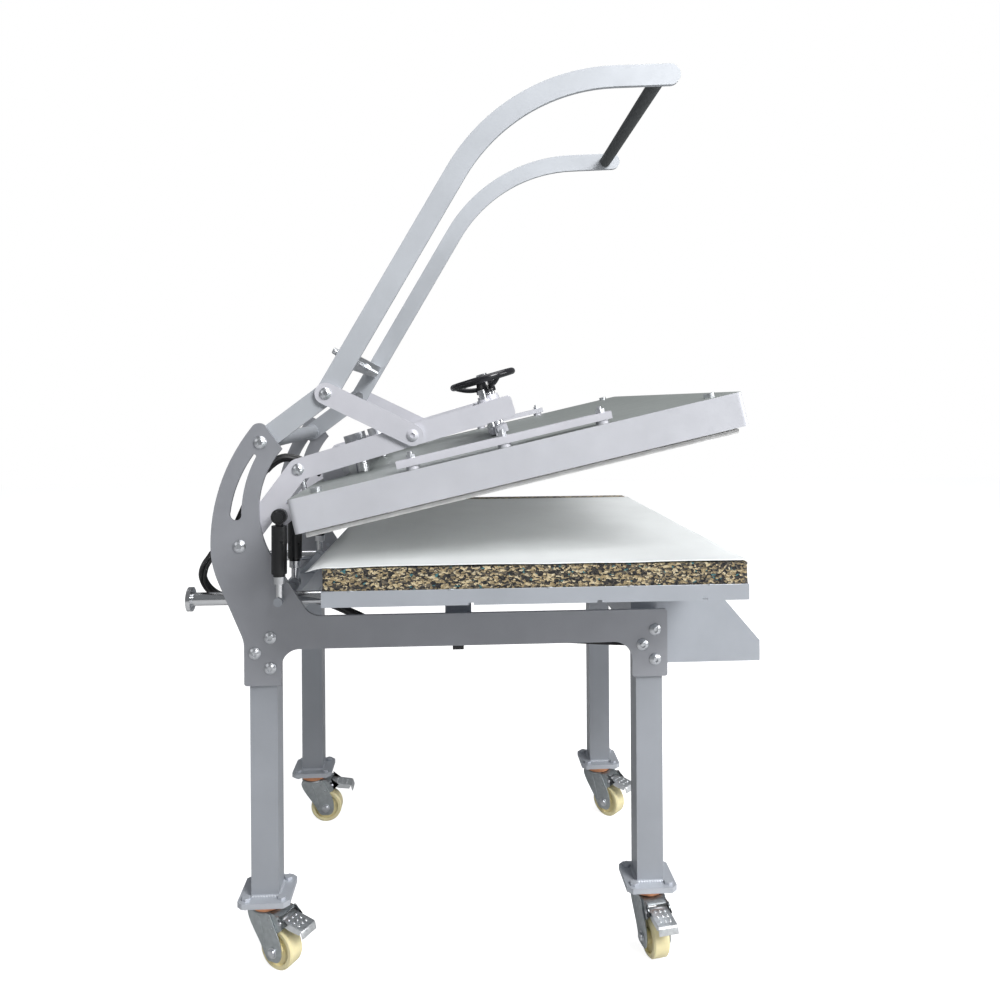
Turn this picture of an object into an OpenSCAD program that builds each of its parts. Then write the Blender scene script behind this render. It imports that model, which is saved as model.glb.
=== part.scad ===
// Slide-out heat press on castors: a tilting heated platen over a foam table that slides out.
// The front of the machine faces -Y. Height zero is the floor under the castor wheels.

/* [Stand] */
// Distance between the left and right leg centres
leg_gap_x = 530; // [480:5:600]
// Distance between the front and rear leg centres
leg_gap_y = 720; // [700:5:760]
// Side of the square leg tube
leg_tube = 50; // [40:1:52]
// Wall of the square tubes
leg_wall = 2.5; // [1.5:0.5:4]
// Leg height between the foot plate and the side plate
leg_free_h = 458; // [380:1:520]
// Height of the level bar of a side plate
bar_h = 60; // [56:1:70]
// Thickness of the side plates
side_t = 8; // [6:0.5:9]
// Width of the tab that each leg is bolted to
tab_w = 67; // [62:1:74]
// Side of the square foot plate
foot_w = 95; // [88:1:100]
// Thickness of the foot plate
foot_t = 6; // [5:0.5:8]
// How far the corners of the foot plates are clipped
foot_corner = 10; // [6:1:12]
// Radius of the fillets beside the tabs
tab_fillet = 34; // [20:1:38]

/* [Side plate arch] */
// Radius of the rear edge of the arch
arch_rear_r = 348; // [344:1:352]
// Radius of the front edge of the arch
arch_front_r = 170; // [166:1:174]
// Radius at the foot of the curved slot
slot_foot_r = 11; // [8:0.5:12]
// Radius at the top of the curved slot
slot_top_r = 3.5; // [2.5:0.5:5]

/* [Arms] */
// Height of the arm pivot above the level bar
arm_pivot_rise = 131; // [129:1:134]
// Distance of the arm pivot behind the rear leg centre
arm_pivot_back = 40.5; // [38:0.5:42]
// Length of an arm from its pivot to its bend
arm_root_l = 174.6; // [173:0.2:177]
// Rest angle of that length above level
arm_root_angle = 52.8; // [52.4:0.1:53.2]
// Length of an arm from its bend to its front end
arm_beam_l = 417; // [410:1:430]
// Rest angle of that length above level
arm_beam_angle = 16.3; // [16:0.1:16.6]
// Width of the arm bars
arm_w = 40; // [36:1:42]
// Thickness of the arm and handle bars
arm_t = 10; // [8:0.5:12]
// Distance of the link pivot from the bend
link_pivot_s = 221; // [218:1:224]

/* [Handle] */
// Height of the handle pivot above the arm pivot
handle_pivot_rise = 190.3; // [189:0.1:191]
// Distance of the handle pivot in front of the arm pivot
handle_pivot_fore = 38.5; // [37:0.5:40]
// Length of the handle from its pivot to the knee
knee_l = 149; // [148:0.1:150]
// Length of the link bars between their bolts
link_l = 178; // [177:0.1:179]
// Angle of the long straight of the handle above level
handle_angle = 59.6; // [58:0.2:61]
// Length of the long straight of the handle
handle_straight = 480; // [420:5:520]
// Radius of the curved top of the handle along its middle
handle_bend_r = 373; // [340:1:400]
// Turn of the curved top
handle_turn = 56.6; // [50:0.2:58]
// Length of the level end of the handle
handle_end_l = 106; // [90:1:130]
// Diameter of the grip tube
grip_d = 28; // [22:1:32]
// Diameter of the tube that joins the handle arms at their pivot
pivot_tube_d = 30; // [27:1:34]

/* [Platen] */
// Width of the platen cover from left to right
cover_w = 1050; // [900:10:1100]
// Depth of the platen cover from front to rear
cover_l = 750; // [720:5:780]
// Height of the platen cover
cover_h = 56; // [50:1:58]
// Sheet thickness of the platen cover
cover_wall = 2; // [1.5:0.5:3]
// Margin between the cover and the heat plate
heat_margin = 15; // [10:1:30]
// Thickness of the heat plate
heat_t = 20; // [16:1:24]
// How far the heat plate stands below the cover
heat_proud = 10; // [6:1:11]
// Thickness of the insulation board
board_t = 24; // [15:1:28]
// Rest angle of the platen above level
platen_angle = 12.9; // [12.6:0.1:13.2]
// Distance of the pressure screw from the arm bend
screw_s = 389; // [384:1:392]
// Diameter of the pressure screw
screw_d = 24; // [18:1:26]
// Outside diameter of the handwheel
wheel_rim_d = 150; // [120:2:180]
// Height of the handwheel above the middle of the arms
wheel_rise = 67; // [62:1:80]

/* [Table] */
// Width of the table from left to right
table_w = 1000; // [860:10:1040]
// Depth of the table from front to rear
table_l = 700; // [660:5:720]
// Height of the folded rim of the tray
tray_h = 25; // [20:1:27]
// Sheet thickness of the tray
tray_wall = 2; // [1.5:0.5:3]
// Thickness of the foam pad
pad_t = 38; // [30:1:38]
// Gap between the level bar and the tray
tray_rise = 64; // [62:1:65]
// Diameter of the slide rails
rail_d = 25; // [20:1:26]
// Distance between the slide rails
rail_gap = 450; // [400:10:460]
// Length of the slide rails
rail_l = 983; // [960:1:990]

/* [Castors] */
// Diameter of the castor wheels
wheel_d = 75; // [70:1:78]
// Width of the castor wheels
wheel_w = 32; // [26:1:34]
// Height of a castor with its top plate
castor_h = 128; // [124:1:136]
// Distance of a castor axle from its swivel axis
castor_trail = 32; // [28:1:34]

/* [Control box] */
// Width of the control box
box_w = 470; // [420:10:475]
// Depth of the level top of the control box
box_top_l = 140; // [120:5:160]
// Depth of the sloping front of the control box
box_slope_l = 70; // [60:1:80]
// Height of the sloping front of the control box
box_slope_h = 82; // [70:1:84]
// Height of the control box
box_h = 122; // [115:1:130]
// Sheet thickness of the control box
box_wall = 1.5; // [1:0.5:2.5]

/* [Hidden] */

// Clearances, overruns and small parts
over = 1;
run_gap = 0.05;
fit_gap = 0.25;
open_pivot_gap = 0.4;
// How far the rounded end of a flat bar stands past its edges
end_proud = 0.02;
bolt_d = 12;
bolt_head_d = 22;
bolt_head_h = 7;
nut_d = 22;
nut_h = 9;
pin_d = 16;
pin_head_t = 4;
pivot_head_d = 24;
pivot_nut_d = 28;
pivot_nut_h = 12;
dome_share = 0.65;
socket_share = 0.45;
socket_depth_share = 0.5;
stud_d = 8;
stud_nut_d = 16;
stud_nut_h = 6;
arc_step = 3;
hex = 6;

// Heights and sides of the stand
half_x = leg_gap_x / 2;
half_y = leg_gap_y / 2;
leg_z = castor_h + foot_t;
frame_z = leg_z + leg_free_h;
top_z = frame_z + bar_h;
tube_top_z = frame_z + leg_tube;
side_in = half_x + leg_tube / 2;
side_out = side_in + side_t;
bar_end = half_y + tab_w / 2;
tab_inner = half_y - tab_w / 2;
tab_drop = 66;
tab_z = frame_z - tab_drop;
tab_corner_r = 5;
leg_bolt_pitch = 28;
leg_bolt_rise = 22;
leg_bolt_shares_rear = [-0.28, 0.28, -0.28];
leg_bolt_shares_front = [-0.2, 0.28, -0.2];
foot_bolt_inset = 15;
foot_bolt_head_h = 5;
mid_tube_y = 0;

// The table and what carries it
table_z = top_z + tray_rise;
pad_z = table_z + tray_h;
sheet_z = pad_z + pad_t;
sheet_t = 1;
sheet_w = 930;
sheet_overhang = 24;
tray_overhang = 118;
tray_front = -(half_y + tray_overhang);
tray_rear = tray_front + table_l;
rail_sink = 19;
rail_z = top_z + rail_sink;
rail_front_inset = 10;
rail_front = tray_front + rail_front_inset;
rail_rear = rail_front + rail_l;
flange_d = 46;
flange_t = 8;
web_t = 8;
web_flange_w = 46;
web_flange_t = 4;
web_front_inset = 8;
web_rear_inset = 7;
bearing_w = 50;
bearing_l = 50;
bearing_wall = 12;
bearing_h = rail_z + rail_d / 2 + bearing_wall - tube_top_z;
bearing_slot_room = 4;
bearing_slot = web_t + bearing_slot_room;
tray_notch_l = 8;
tray_notch_h = 4;
tray_notch_shares = [0.1, 0.35, 0.65];

// The control box
box_back = -(half_y + leg_tube / 2);
box_front = box_back - box_top_l - box_slope_l;
box_drop = 61;
box_z = frame_z - box_drop;
panel_t = 2;
panel_w = 300;
panel_margin = 12;
display_w = 90;
display_h = 48;
display_t = 8;
display_x = -70;
display_frame = 5;
key_d = 16;
key_h = 6;
key_travel = 1.5;
key_pitch = 34;
key_x = 20;
rocker_w = 26;
rocker_l = 18;
rocker_h = 7;
rocker_x = 110;
rocker_gap = 1.6;
slope_l = norm([box_slope_l, box_slope_h]);
slope_angle = atan2(box_slope_h, box_slope_l);
gland_d = 30;
gland_l = 22;
gland_x = -190;
gland_bore = 20;
gland_drop = 30;
gland_z = frame_z - gland_drop;
clip_drop = 20;
clip_z = frame_z - clip_drop;

// The pivots, as places in the side view
arm_pivot = [half_y + arm_pivot_back, top_z + arm_pivot_rise];
handle_pivot = [arm_pivot[0] - handle_pivot_fore, arm_pivot[1] + handle_pivot_rise];
arm_bend = arm_pivot + arm_root_l * [-cos(arm_root_angle), sin(arm_root_angle)];
link_pivot = arm_bend + link_pivot_s * [-cos(arm_beam_angle), sin(arm_beam_angle)];
pivot_gap = norm(link_pivot - handle_pivot);
pivot_heading = atan2(link_pivot[1] - handle_pivot[1], link_pivot[0] - handle_pivot[0]);
knee_cos = (knee_l * knee_l + pivot_gap * pivot_gap - link_l * link_l) / (2 * knee_l * pivot_gap);
knee_heading = pivot_heading - acos(knee_cos);
knee = handle_pivot + knee_l * [cos(knee_heading), sin(knee_heading)];
straight_dir = [-cos(handle_angle), sin(handle_angle)];
handle_out = [sin(handle_angle), cos(handle_angle)];
handle_bend_c = knee + handle_straight * straight_dir - handle_bend_r * handle_out;
handle_end_angle = handle_angle - handle_turn;
handle_end_out = [sin(handle_end_angle), cos(handle_end_angle)];
handle_end_start = handle_bend_c + handle_bend_r * handle_end_out;
handle_tip = handle_end_start + handle_end_l * [-cos(handle_end_angle), sin(handle_end_angle)];
grip_inset = 17;
grip_at = handle_tip - grip_inset * [-cos(handle_end_angle), sin(handle_end_angle)];
tie_s = 75;
tie_at = knee + tie_s * straight_dir;
tie_w = 30;
tie_h = 22;
tie_t = 3;
stop_d = 10;
stop_reach = 37;
stop_head_d = 17;
stop_head_h = 7;
stop_head_z = 14;

// Outline of the arch: its arcs are struck from these places
pivot_edge = 52.5;
crown_lift = 2;
crown_c = [arm_pivot[0] + pivot_edge - arch_rear_r, arm_pivot[1] + crown_lift];
arch_front_back = 164.5;
arch_front_rise = 196;
arch_front_c = [half_y - arch_front_back, top_z + arch_front_rise];
arch_front_from = 41.5;
arch_front_to = -32;
web_r = 35;
nose_r = 15;
nose_angle = 38.8;
nose_end_angle = 145;
nose_c = crown_c + (arch_rear_r - nose_r) * [cos(nose_angle), sin(nose_angle)];
heel_r = 60;
heel_top_r = 175;
heel_lean = 22.8;
heel_run = arm_pivot[0] + pivot_edge - bar_end - (heel_r + heel_top_r) * (1 - cos(heel_lean));
heel_l = heel_run / sin(heel_lean);
heel_z = crown_c[1] - (heel_r + heel_top_r) * sin(heel_lean) - heel_l * cos(heel_lean);
slot_foot_offset = [7, 58];
slot_foot = arm_pivot + slot_foot_offset;
slot_top_offset = [11, -25.3];
slot_top = handle_pivot + slot_top_offset;
slot_bulge = 6.9;
slot_steps = 12;

// Layers of the bars, from the middle of the machine outwards
arm_gap = 0.5;
arm_out = side_in - arm_gap;
arm_in = arm_out - arm_t;
link_t = 8;

// The beams and the platen, in the frame of the arm's front length
beam_front_l = 50;
beam_front_half_h = 18;
beam_rear_s = 110;
beam_rear_l = 50;
beam_rear_half_h = 16;
beam_wall = 3;
nut_boss_d = 46;
nut_boss_top = 30;
guide_boss_d = 30;
guide_boss_top = 24;
guide_d = 16;
guide_x = 60;
guide_s_step = 13;
guide_top = 45;
sleeve_d = 42;
sleeve_bore = 35;
sleeve_top = 34;
sleeve_x = 228;
post_d = 25;
post_head_d = 17;
post_head_h = 6;
post_l = 58;
pivot_drop = 45.7;
level_rise = 12;
level_pin_d = 12;
lug_x = 100;
lug_t = 10;
lug_r = 10;
foot_block_w = 180;
foot_block_l = 36;
foot_block_h = 16;
foot_top = pivot_drop - foot_block_h / 2;
screw_seat = 6;
level_pivot = arm_bend + screw_s * [-cos(arm_beam_angle), sin(arm_beam_angle)]
  - pivot_drop * [sin(arm_beam_angle), cos(arm_beam_angle)];
cover_c = level_pivot - level_rise * [sin(platen_angle), cos(platen_angle)];
screw_top = 12;
rim_tube_d = 15;
hub_d = 44;
hub_low = 36;
hub_h = 18;
hub_neck_share = 0.8;
spoke_root_share = 0.25;
spoke_turn = 30;
spoke_d = 12;
spoke_count = 3;

// The platen's own fittings
heat_l = cover_l - 2 * heat_margin;
heat_w = cover_w - 2 * heat_margin;
heat_top_n = heat_t - heat_proud - cover_h;
cover_corner_r = 10;
board_gap = 3;
cap_screw_d = 18;
cap_screw_h = 7;
cap_inset = 42;
bar_inset = 25;
bar_x = cover_w / 2 - bar_inset;
bar_w = 25;
bar_t = 12;
bar_spacer = 6;
bar_spacer_d = 22;
bar_from = -161;
bar_to = 196;
stud_places = [-145, 19, 171];
stud_top = 11;
terminal_x = -240;
terminal_w = 80;
terminal_l = 40;
terminal_h = 22;
terminal_v = 318;
hanger_v = (arm_bend - cover_c) * [cos(platen_angle), -sin(platen_angle)];
hanger_pivot_n = (arm_bend - cover_c) * [sin(platen_angle), cos(platen_angle)];
eye_d = 30;
eye_t = 14;
eye_gap = 1;
hanger_x = arm_in - eye_gap / 2 - eye_t / 2;
neck_d = 13;
neck_n = 7;
hanger_d = 10;
hanger_hole = 14;
hanger_low = -44;
hanger_nut_n = -33;
lug_plate_t = 6;
lug_plate_w = 32;
lug_plate_reach = 28;
lug_plate_n = -16.5;

// Gas struts
strut_foot_fore = 34;
strut_foot_rise = 43;
strut_foot = [half_y - strut_foot_fore, tube_top_z + strut_foot_rise];
shaft_offset = [-75.5, 56];
shaft_at = arm_pivot + shaft_offset;
shaft_d = 20;
shaft_lug_r = 20;
arm_tip_r = 8;
strut_tube_d = 28;
strut_outer_gap = 1;
strut_outer_x = side_out + strut_outer_gap + strut_tube_d / 2;
strut_inner_x = 160;
strut_rod_d = 14;
strut_collar_d = 22;
strut_rod_l = 100;
strut_room = 25;
strut_eye_r = 8;
strut_eye_t = 14;
strut_pin_d = 8;
strut_top_r = 14;
bracket_t = 5;
bracket_gap = 1;
bracket_w = 22;
collar_from = 32;
collar_to = 50;
tube_to = 137;

// Castors
swivel_plate_t = 4;
seal_d = 58;
seal_bore = 22;
seal_h = 16;
king_d = 12;
king_nut_d = 20;
king_nut_h = 6;
king_reach = 33;
fork_top_gap = 0.5;
fork_top_t = 6;
fork_top_d = 60;
fork_in = 22;
fork_t = 3;
fork_eye_r = 16;
fork_back_share = 0.38;
fork_front_share = 0.45;
axle_d = 10;
axle_head_d = 17;
axle_head_h = 5;
axle_z = wheel_d / 2;
fork_top_z = castor_h - swivel_plate_t - seal_h - fork_top_gap;
hub_proud = 3;
hub_half = wheel_w / 2 + hub_proud;
wheel_hub_share = 0.36;
wheel_rim_share = 0.76;
web_half_share = 0.34;
wheel_chamfer = 3;
pedal_pin_d = 6;
pedal_fore = 15;
pedal_rise = 18;
pedal_hinge = [castor_trail + pedal_fore, wheel_d + pedal_rise];
pedal_t = 2.5;
pedal_half_w = 19;
pedal_barrel_r = 6;
pedal_reach = 47;
pedal_fall = 8;
pedal_lip = 12;
castor_angles = [-170, -135, -120, -90];
castor_places = [[-half_x, -half_y], [half_x, -half_y], [-half_x, half_y], [half_x, half_y]];

// Cables: places chosen by hand along the route, from the middle of the stand
cable_d = 18;
cable_sides = 10;
frame_route = [
  [-190, -388, 562], [-190, -340, 562], [-190, -180, 570], [-190, 0, 572], [-190, 110, 580],
  [-190, 200, 626], [-189, 270, 656], [-188, 340, 662], [-188, 400, 663], [-188, 455, 665],
  [-190, 483, 680], [-202, 493, 706], [-224, 485, 733], [-246, 467, 757], [-258, 449, 773],
  [-261, 436, 784]
];
platen_route = [
  [-258, 420, 806], [-252, 402, 845], [-244, 384, 888], [-238, 362, 922], [-232, 335, 940],
  [-226, 306, 936], [-218, 282, 922], [-212, 265.7, 907.1]
];

// The object's origin lies under the middle of its whole length
origin_y = -(box_front + rail_rear) / 2;
$fn = 64;

function polar(c, r, a) = c + r * [cos(a), sin(a)];
function arc(c, r, a0, a1) =
  let (n = max(1, ceil(abs(a1 - a0) / arc_step)))
  [for (i = [0:n]) polar(c, r, a0 + (a1 - a0) * i / n)];
function beam_point(s, n) = arm_bend
  + s * [-cos(arm_beam_angle), sin(arm_beam_angle)]
  + n * [sin(arm_beam_angle), cos(arm_beam_angle)];
function platen_v(p) = (p - cover_c) * [cos(platen_angle), -sin(platen_angle)];

module placed() {
  translate([0, origin_y, 0]) children();
}

module both() {
  children();
  mirror([1, 0, 0]) children();
}

// A flat piece cut to a side view, from x over its thickness
module slab(x, t) {
  translate([x, 0, 0]) rotate([90, 0, 90]) linear_extrude(t) children();
}

// A round piece along the x direction at a place in the side view
module cross_rod(x0, x1, p, d) {
  translate([x0, p[0], p[1]]) rotate([0, 90, 0]) cylinder(d = d, h = x1 - x0);
}

module bar2d(p1, p2, w) {
  translate(p1) rotate(atan2(p2[1] - p1[1], p2[0] - p1[0])) translate([0, -w / 2]) square([norm(p2 - p1), w]);
  translate(p1) circle(d = w + 2 * end_proud);
  translate(p2) circle(d = w + 2 * end_proud);
}

// The beam frame: its y runs rearwards down the beam and its z stands square on it
module on_beam() {
  translate([0, arm_bend[0], arm_bend[1]]) rotate([-arm_beam_angle, 0, 0]) children();
}

// The platen frame: its origin is the middle of the cover's top face
module on_platen() {
  translate([0, cover_c[0], cover_c[1]]) rotate([-platen_angle, 0, 0]) children();
}

// A button head with a hexagon socket on a plain shank; the head stands above zero
module button_bolt(d, head_d, head_h, l) {
  dome_r = head_d * dome_share;
  difference() {
    intersection() {
      cylinder(d = head_d, h = head_h);
      translate([0, 0, head_h - dome_r]) sphere(r = dome_r);
    }
    translate([0, 0, head_h * socket_depth_share]) cylinder(d = head_d * socket_share, h = head_h, $fn = hex);
  }
  translate([0, 0, -l]) cylinder(d = d, h = l);
}

module nut(d, bore, h) {
  difference() {
    cylinder(d = d, h = h, $fn = hex);
    translate([0, 0, -over]) cylinder(d = bore, h = h + 2 * over);
  }
}

// Side plates
web_normal = -[cos(arch_front_to), sin(arch_front_to)];
web_dir = [cos(arch_front_to - 90), sin(arch_front_to - 90)];
web_start = polar(arch_front_c, arch_front_r, arch_front_to);
web_run = (web_start[1] + web_r * web_normal[1] - top_z - web_r) / -web_dir[1];
web_c = [web_start[0] + web_run * web_dir[0] + web_r * web_normal[0], top_z + web_r];

module side_plate_outline() {
  polygon(concat(
    arc([bar_end - tab_corner_r, tab_z + tab_corner_r], tab_corner_r, -90, 0),
    arc([bar_end + heel_r, heel_z], heel_r, 180, 180 - heel_lean),
    arc([crown_c[0] + arch_rear_r - heel_top_r, crown_c[1]], heel_top_r, -heel_lean, 0),
    arc(crown_c, arch_rear_r, 0, nose_angle),
    arc(nose_c, nose_r, nose_angle, nose_end_angle),
    arc(arch_front_c, arch_front_r, arch_front_from, arch_front_to),
    arc(web_c, web_r, arch_front_to, -90),
    arc([tab_corner_r - bar_end, top_z - tab_corner_r], tab_corner_r, 90, 180),
    arc([tab_corner_r - bar_end, tab_z + tab_corner_r], tab_corner_r, 180, 270),
    arc([-tab_inner - tab_corner_r, tab_z + tab_corner_r], tab_corner_r, 270, 360),
    arc([tab_fillet - tab_inner, frame_z - tab_fillet], tab_fillet, 180, 90),
    arc([tab_inner - tab_fillet, frame_z - tab_fillet], tab_fillet, 90, 0),
    arc([tab_inner + tab_corner_r, tab_z + tab_corner_r], tab_corner_r, 180, 270)
  ));
}

// The curved slot: a bowed line from its foot to its top, wide below and narrow above
module slot_2d() {
  chord = slot_top - slot_foot;
  square_dir = [chord[1], -chord[0]] / norm(chord);
  mids = [for (i = [0:slot_steps]) slot_foot + chord * i / slot_steps
    + square_dir * slot_bulge * 4 * (i / slot_steps) * (1 - i / slot_steps)];
  halves = [for (i = [0:slot_steps]) slot_foot_r + (slot_top_r - slot_foot_r) * i / slot_steps];
  polygon(concat(
    [for (i = [0:slot_steps]) mids[i] + square_dir * halves[i]],
    [for (i = [slot_steps:-1:0]) mids[i] - square_dir * halves[i]]
  ));
  translate(slot_foot) circle(r = slot_foot_r);
  translate(slot_top) circle(r = slot_top_r);
}

function leg_bolt_row(y, shares) =
  [for (i = [0:2]) [y + leg_tube * shares[i], frame_z + leg_bolt_rise - leg_bolt_pitch * i]];
function leg_bolt_places() =
  concat(leg_bolt_row(-half_y, leg_bolt_shares_front), leg_bolt_row(half_y, leg_bolt_shares_rear));

module side_plate_2d() {
  difference() {
    side_plate_outline();
    slot_2d();
    for (p = leg_bolt_places()) translate(p) circle(d = stud_d + 2 * fit_gap);
    translate(arm_pivot) circle(d = pin_d + 2 * fit_gap);
    translate(handle_pivot) circle(d = pin_d + 2 * fit_gap);
    translate(strut_foot) circle(d = strut_pin_d + 2 * fit_gap);
  }
}

module left_side_plate() {
  color("#b9bec6") placed() slab(-side_out, side_t) side_plate_2d();
}

module right_side_plate() {
  color("#b9bec6") placed() slab(side_in, side_t) side_plate_2d();
}

// Stand
module square_tube(l) {
  difference() {
    translate([-leg_tube / 2, -leg_tube / 2, 0]) cube([leg_tube, leg_tube, l]);
    translate([leg_wall - leg_tube / 2, leg_wall - leg_tube / 2, -over])
      cube([leg_tube - 2 * leg_wall, leg_tube - 2 * leg_wall, l + 2 * over]);
  }
}

// A square plate with clipped corners, as cut for the feet and the castors
module foot_plate(t) {
  h = foot_w / 2;
  k = h - foot_corner;
  linear_extrude(t) polygon([[-k, -h], [k, -h], [h, -k], [h, k], [k, h], [-k, h], [-h, k], [-h, -k]]);
}

module foot_bolt_places() {
  reach = foot_w / 2 - foot_bolt_inset;
  for (x = [-reach, reach]) for (y = [-reach, reach]) translate([x, y, 0]) children();
}

module left_leg(y, bolts) {
  difference() {
    translate([-half_x, y, leg_z]) square_tube(tube_top_z - leg_z);
    for (p = bolts) cross_rod(-side_in - over, leg_wall + over - side_in, p, stud_d + 2 * fit_gap);
  }
  translate([leg_wall - side_in, y - leg_tube / 2 + leg_wall, tube_top_z - leg_wall])
    cube([leg_tube - 2 * leg_wall, leg_tube - 2 * leg_wall, leg_wall]);
  difference() {
    translate([-half_x, y, castor_h]) foot_plate(foot_t);
    translate([-half_x, y, castor_h - over]) foot_bolt_places()
      cylinder(d = stud_d + 2 * fit_gap, h = foot_t + 2 * over);
  }
}

module legs() {
  color("#b9bec6") placed() both() {
    left_leg(-half_y, [for (i = [0:2]) leg_bolt_places()[i]]);
    left_leg(half_y, [for (i = [3:5]) leg_bolt_places()[i]]);
  }
}

module cross_tube(y, half_l) {
  translate([-half_l, y, tube_top_z - leg_tube / 2]) rotate([90, 0, 90]) square_tube(2 * half_l);
}

module cross_tubes() {
  color("#b9bec6") placed() {
    cross_tube(-half_y, half_x - leg_tube / 2);
    cross_tube(half_y, half_x - leg_tube / 2);
    cross_tube(mid_tube_y, side_in);
  }
}

// Bolts of the stand and the pivots
module frame_bolts() {
  color("#c9ccd1") placed() both() for (p = leg_bolt_places()) {
    translate([-side_out, p[0], p[1]]) rotate([0, -90, 0])
      button_bolt(stud_d, bolt_head_d, bolt_head_h, side_t + leg_wall + stud_nut_h);
    translate([leg_wall - side_in, p[0], p[1]]) rotate([0, 90, 0]) nut(stud_nut_d, stud_d, stud_nut_h);
  }
}

module pivot_bolts() {
  grip = side_t + arm_gap + arm_t;
  color("#c9ccd1") placed() both() {
    translate([-side_out, arm_pivot[0], arm_pivot[1]]) rotate([0, -90, 0])
      button_bolt(pin_d, pivot_head_d, bolt_head_h, grip + arm_gap + pivot_nut_h);
    translate([arm_gap - arm_in, arm_pivot[0], arm_pivot[1]]) rotate([0, 90, 0])
      nut(pivot_nut_d, pin_d, pivot_nut_h);
    translate([-side_out, handle_pivot[0], handle_pivot[1]]) rotate([0, -90, 0])
      button_bolt(pin_d, pivot_head_d, bolt_head_h, grip);
  }
}

// Open-topped blocks that the slide rails run in
module rail_bearings() {
  color("#9aa1aa") placed() for (y = [-half_y, mid_tube_y]) both()
    difference() {
      translate([-rail_gap / 2 - bearing_w / 2, y - bearing_l / 2, tube_top_z])
        cube([bearing_w, bearing_l, bearing_h]);
      translate([-rail_gap / 2, y - bearing_l / 2 - over, rail_z]) rotate([-90, 0, 0])
        cylinder(d = rail_d + 2 * run_gap, h = bearing_l + 2 * over);
      translate([-rail_gap / 2 - bearing_slot / 2, y - bearing_l / 2 - over, rail_z])
        cube([bearing_slot, bearing_l + 2 * over, bearing_h]);
    }
}

// Clevis brackets and pins at the feet of the gas struts
module strut_brackets() {
  cheek_x = strut_eye_t / 2 + bracket_gap;
  color("#aab0b8") placed() both() {
    for (x = [-cheek_x - bracket_t, cheek_x]) difference() {
      slab(x - strut_inner_x, bracket_t) union() {
        polygon([
          [half_y - leg_tube / 2, tube_top_z], [half_y + leg_tube / 4, tube_top_z],
          strut_foot + [bracket_w / 2, 0], strut_foot - [bracket_w / 2, 0]
        ]);
        translate(strut_foot) circle(d = bracket_w);
      }
      cross_rod(x - strut_inner_x - over, x - strut_inner_x + bracket_t + over, strut_foot,
        strut_pin_d + 2 * fit_gap);
    }
    cross_rod(-strut_inner_x - cheek_x - 2 * bracket_t, cheek_x + 2 * bracket_t - strut_inner_x,
      strut_foot, strut_pin_d);
    cross_rod(-strut_outer_x - strut_eye_t / 2 - 2 * bracket_gap, -side_in, strut_foot, strut_pin_d);
    cross_rod(-strut_outer_x - strut_eye_t / 2 - 2 * bracket_gap - pin_head_t,
      -strut_outer_x - strut_eye_t / 2 - 2 * bracket_gap, strut_foot, strut_pin_d * 2);
  }
}

// Control box
box_top_z = box_z + box_h;
slope_top = [box_back - box_top_l, box_top_z];
slope_foot = [box_front, box_top_z - box_slope_h];

module box_outline(inset) {
  lean = inset / cos(slope_angle);
  inner_foot_z = slope_foot[1] - lean * (1 - sin(slope_angle));
  inner_top_y = box_front + (box_slope_h - inset + lean) / tan(slope_angle);
  polygon([
    [box_back - inset, box_z + inset], [box_back - inset, box_top_z - inset],
    [inner_top_y, box_top_z - inset],
    [box_front + inset, inner_foot_z],
    [box_front + inset, box_z + inset]
  ]);
}

// The frame of the sloping face: x to the right, y up the slope, z out of it
module on_slope() {
  middle = (slope_top + slope_foot) / 2;
  translate([0, middle[0], middle[1]]) rotate([slope_angle, 0, 0]) children();
}

module control_box() {
  color("#b4b9c1") placed() difference() {
    slab(-box_w / 2, box_w) box_outline(0);
    slab(box_wall - box_w / 2, box_w - 2 * box_wall) box_outline(box_wall);
    translate([gland_x, box_back - 2 * box_wall, gland_z]) rotate([-90, 0, 0])
      cylinder(d = gland_bore, h = 3 * box_wall);
  }
}

module control_panel() {
  color("#2c3036") placed() on_slope() {
    difference() {
      translate([-panel_w / 2, panel_margin - slope_l / 2, 0])
        cube([panel_w, slope_l - 2 * panel_margin, panel_t]);
      for (i = [-1, 1]) translate([key_x, i * key_pitch / 2, -over])
        cylinder(d = key_d + 2 * fit_gap, h = panel_t + 2 * over);
      translate([rocker_x - rocker_w / 2 - fit_gap, -rocker_l / 2 - rocker_gap, -over])
        cube([rocker_w + 2 * fit_gap, rocker_l + 2 * rocker_gap, panel_t + 2 * over]);
    }
    difference() {
      translate([display_x - display_w / 2, -display_h / 2, panel_t]) cube([display_w, display_h, display_t]);
      translate([display_x + display_frame - display_w / 2, display_frame - display_h / 2,
        panel_t + display_t - box_wall])
        cube([display_w - 2 * display_frame, display_h - 2 * display_frame, display_t]);
    }
  }
}

module panel_key(y) {
  color("#d0d3d8") placed() on_slope() translate([key_x, y, key_travel + fit_gap])
    cylinder(d = key_d, h = panel_t + key_h - key_travel - fit_gap);
}

module up_key() {
  panel_key(key_pitch / 2);
}

module down_key() {
  panel_key(-key_pitch / 2);
}

module power_rocker() {
  color("#b3261e") placed() on_slope()
    translate([rocker_x - rocker_w / 2, -rocker_l / 2, panel_t + fit_gap])
      cube([rocker_w, rocker_l, rocker_h]);
}

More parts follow.
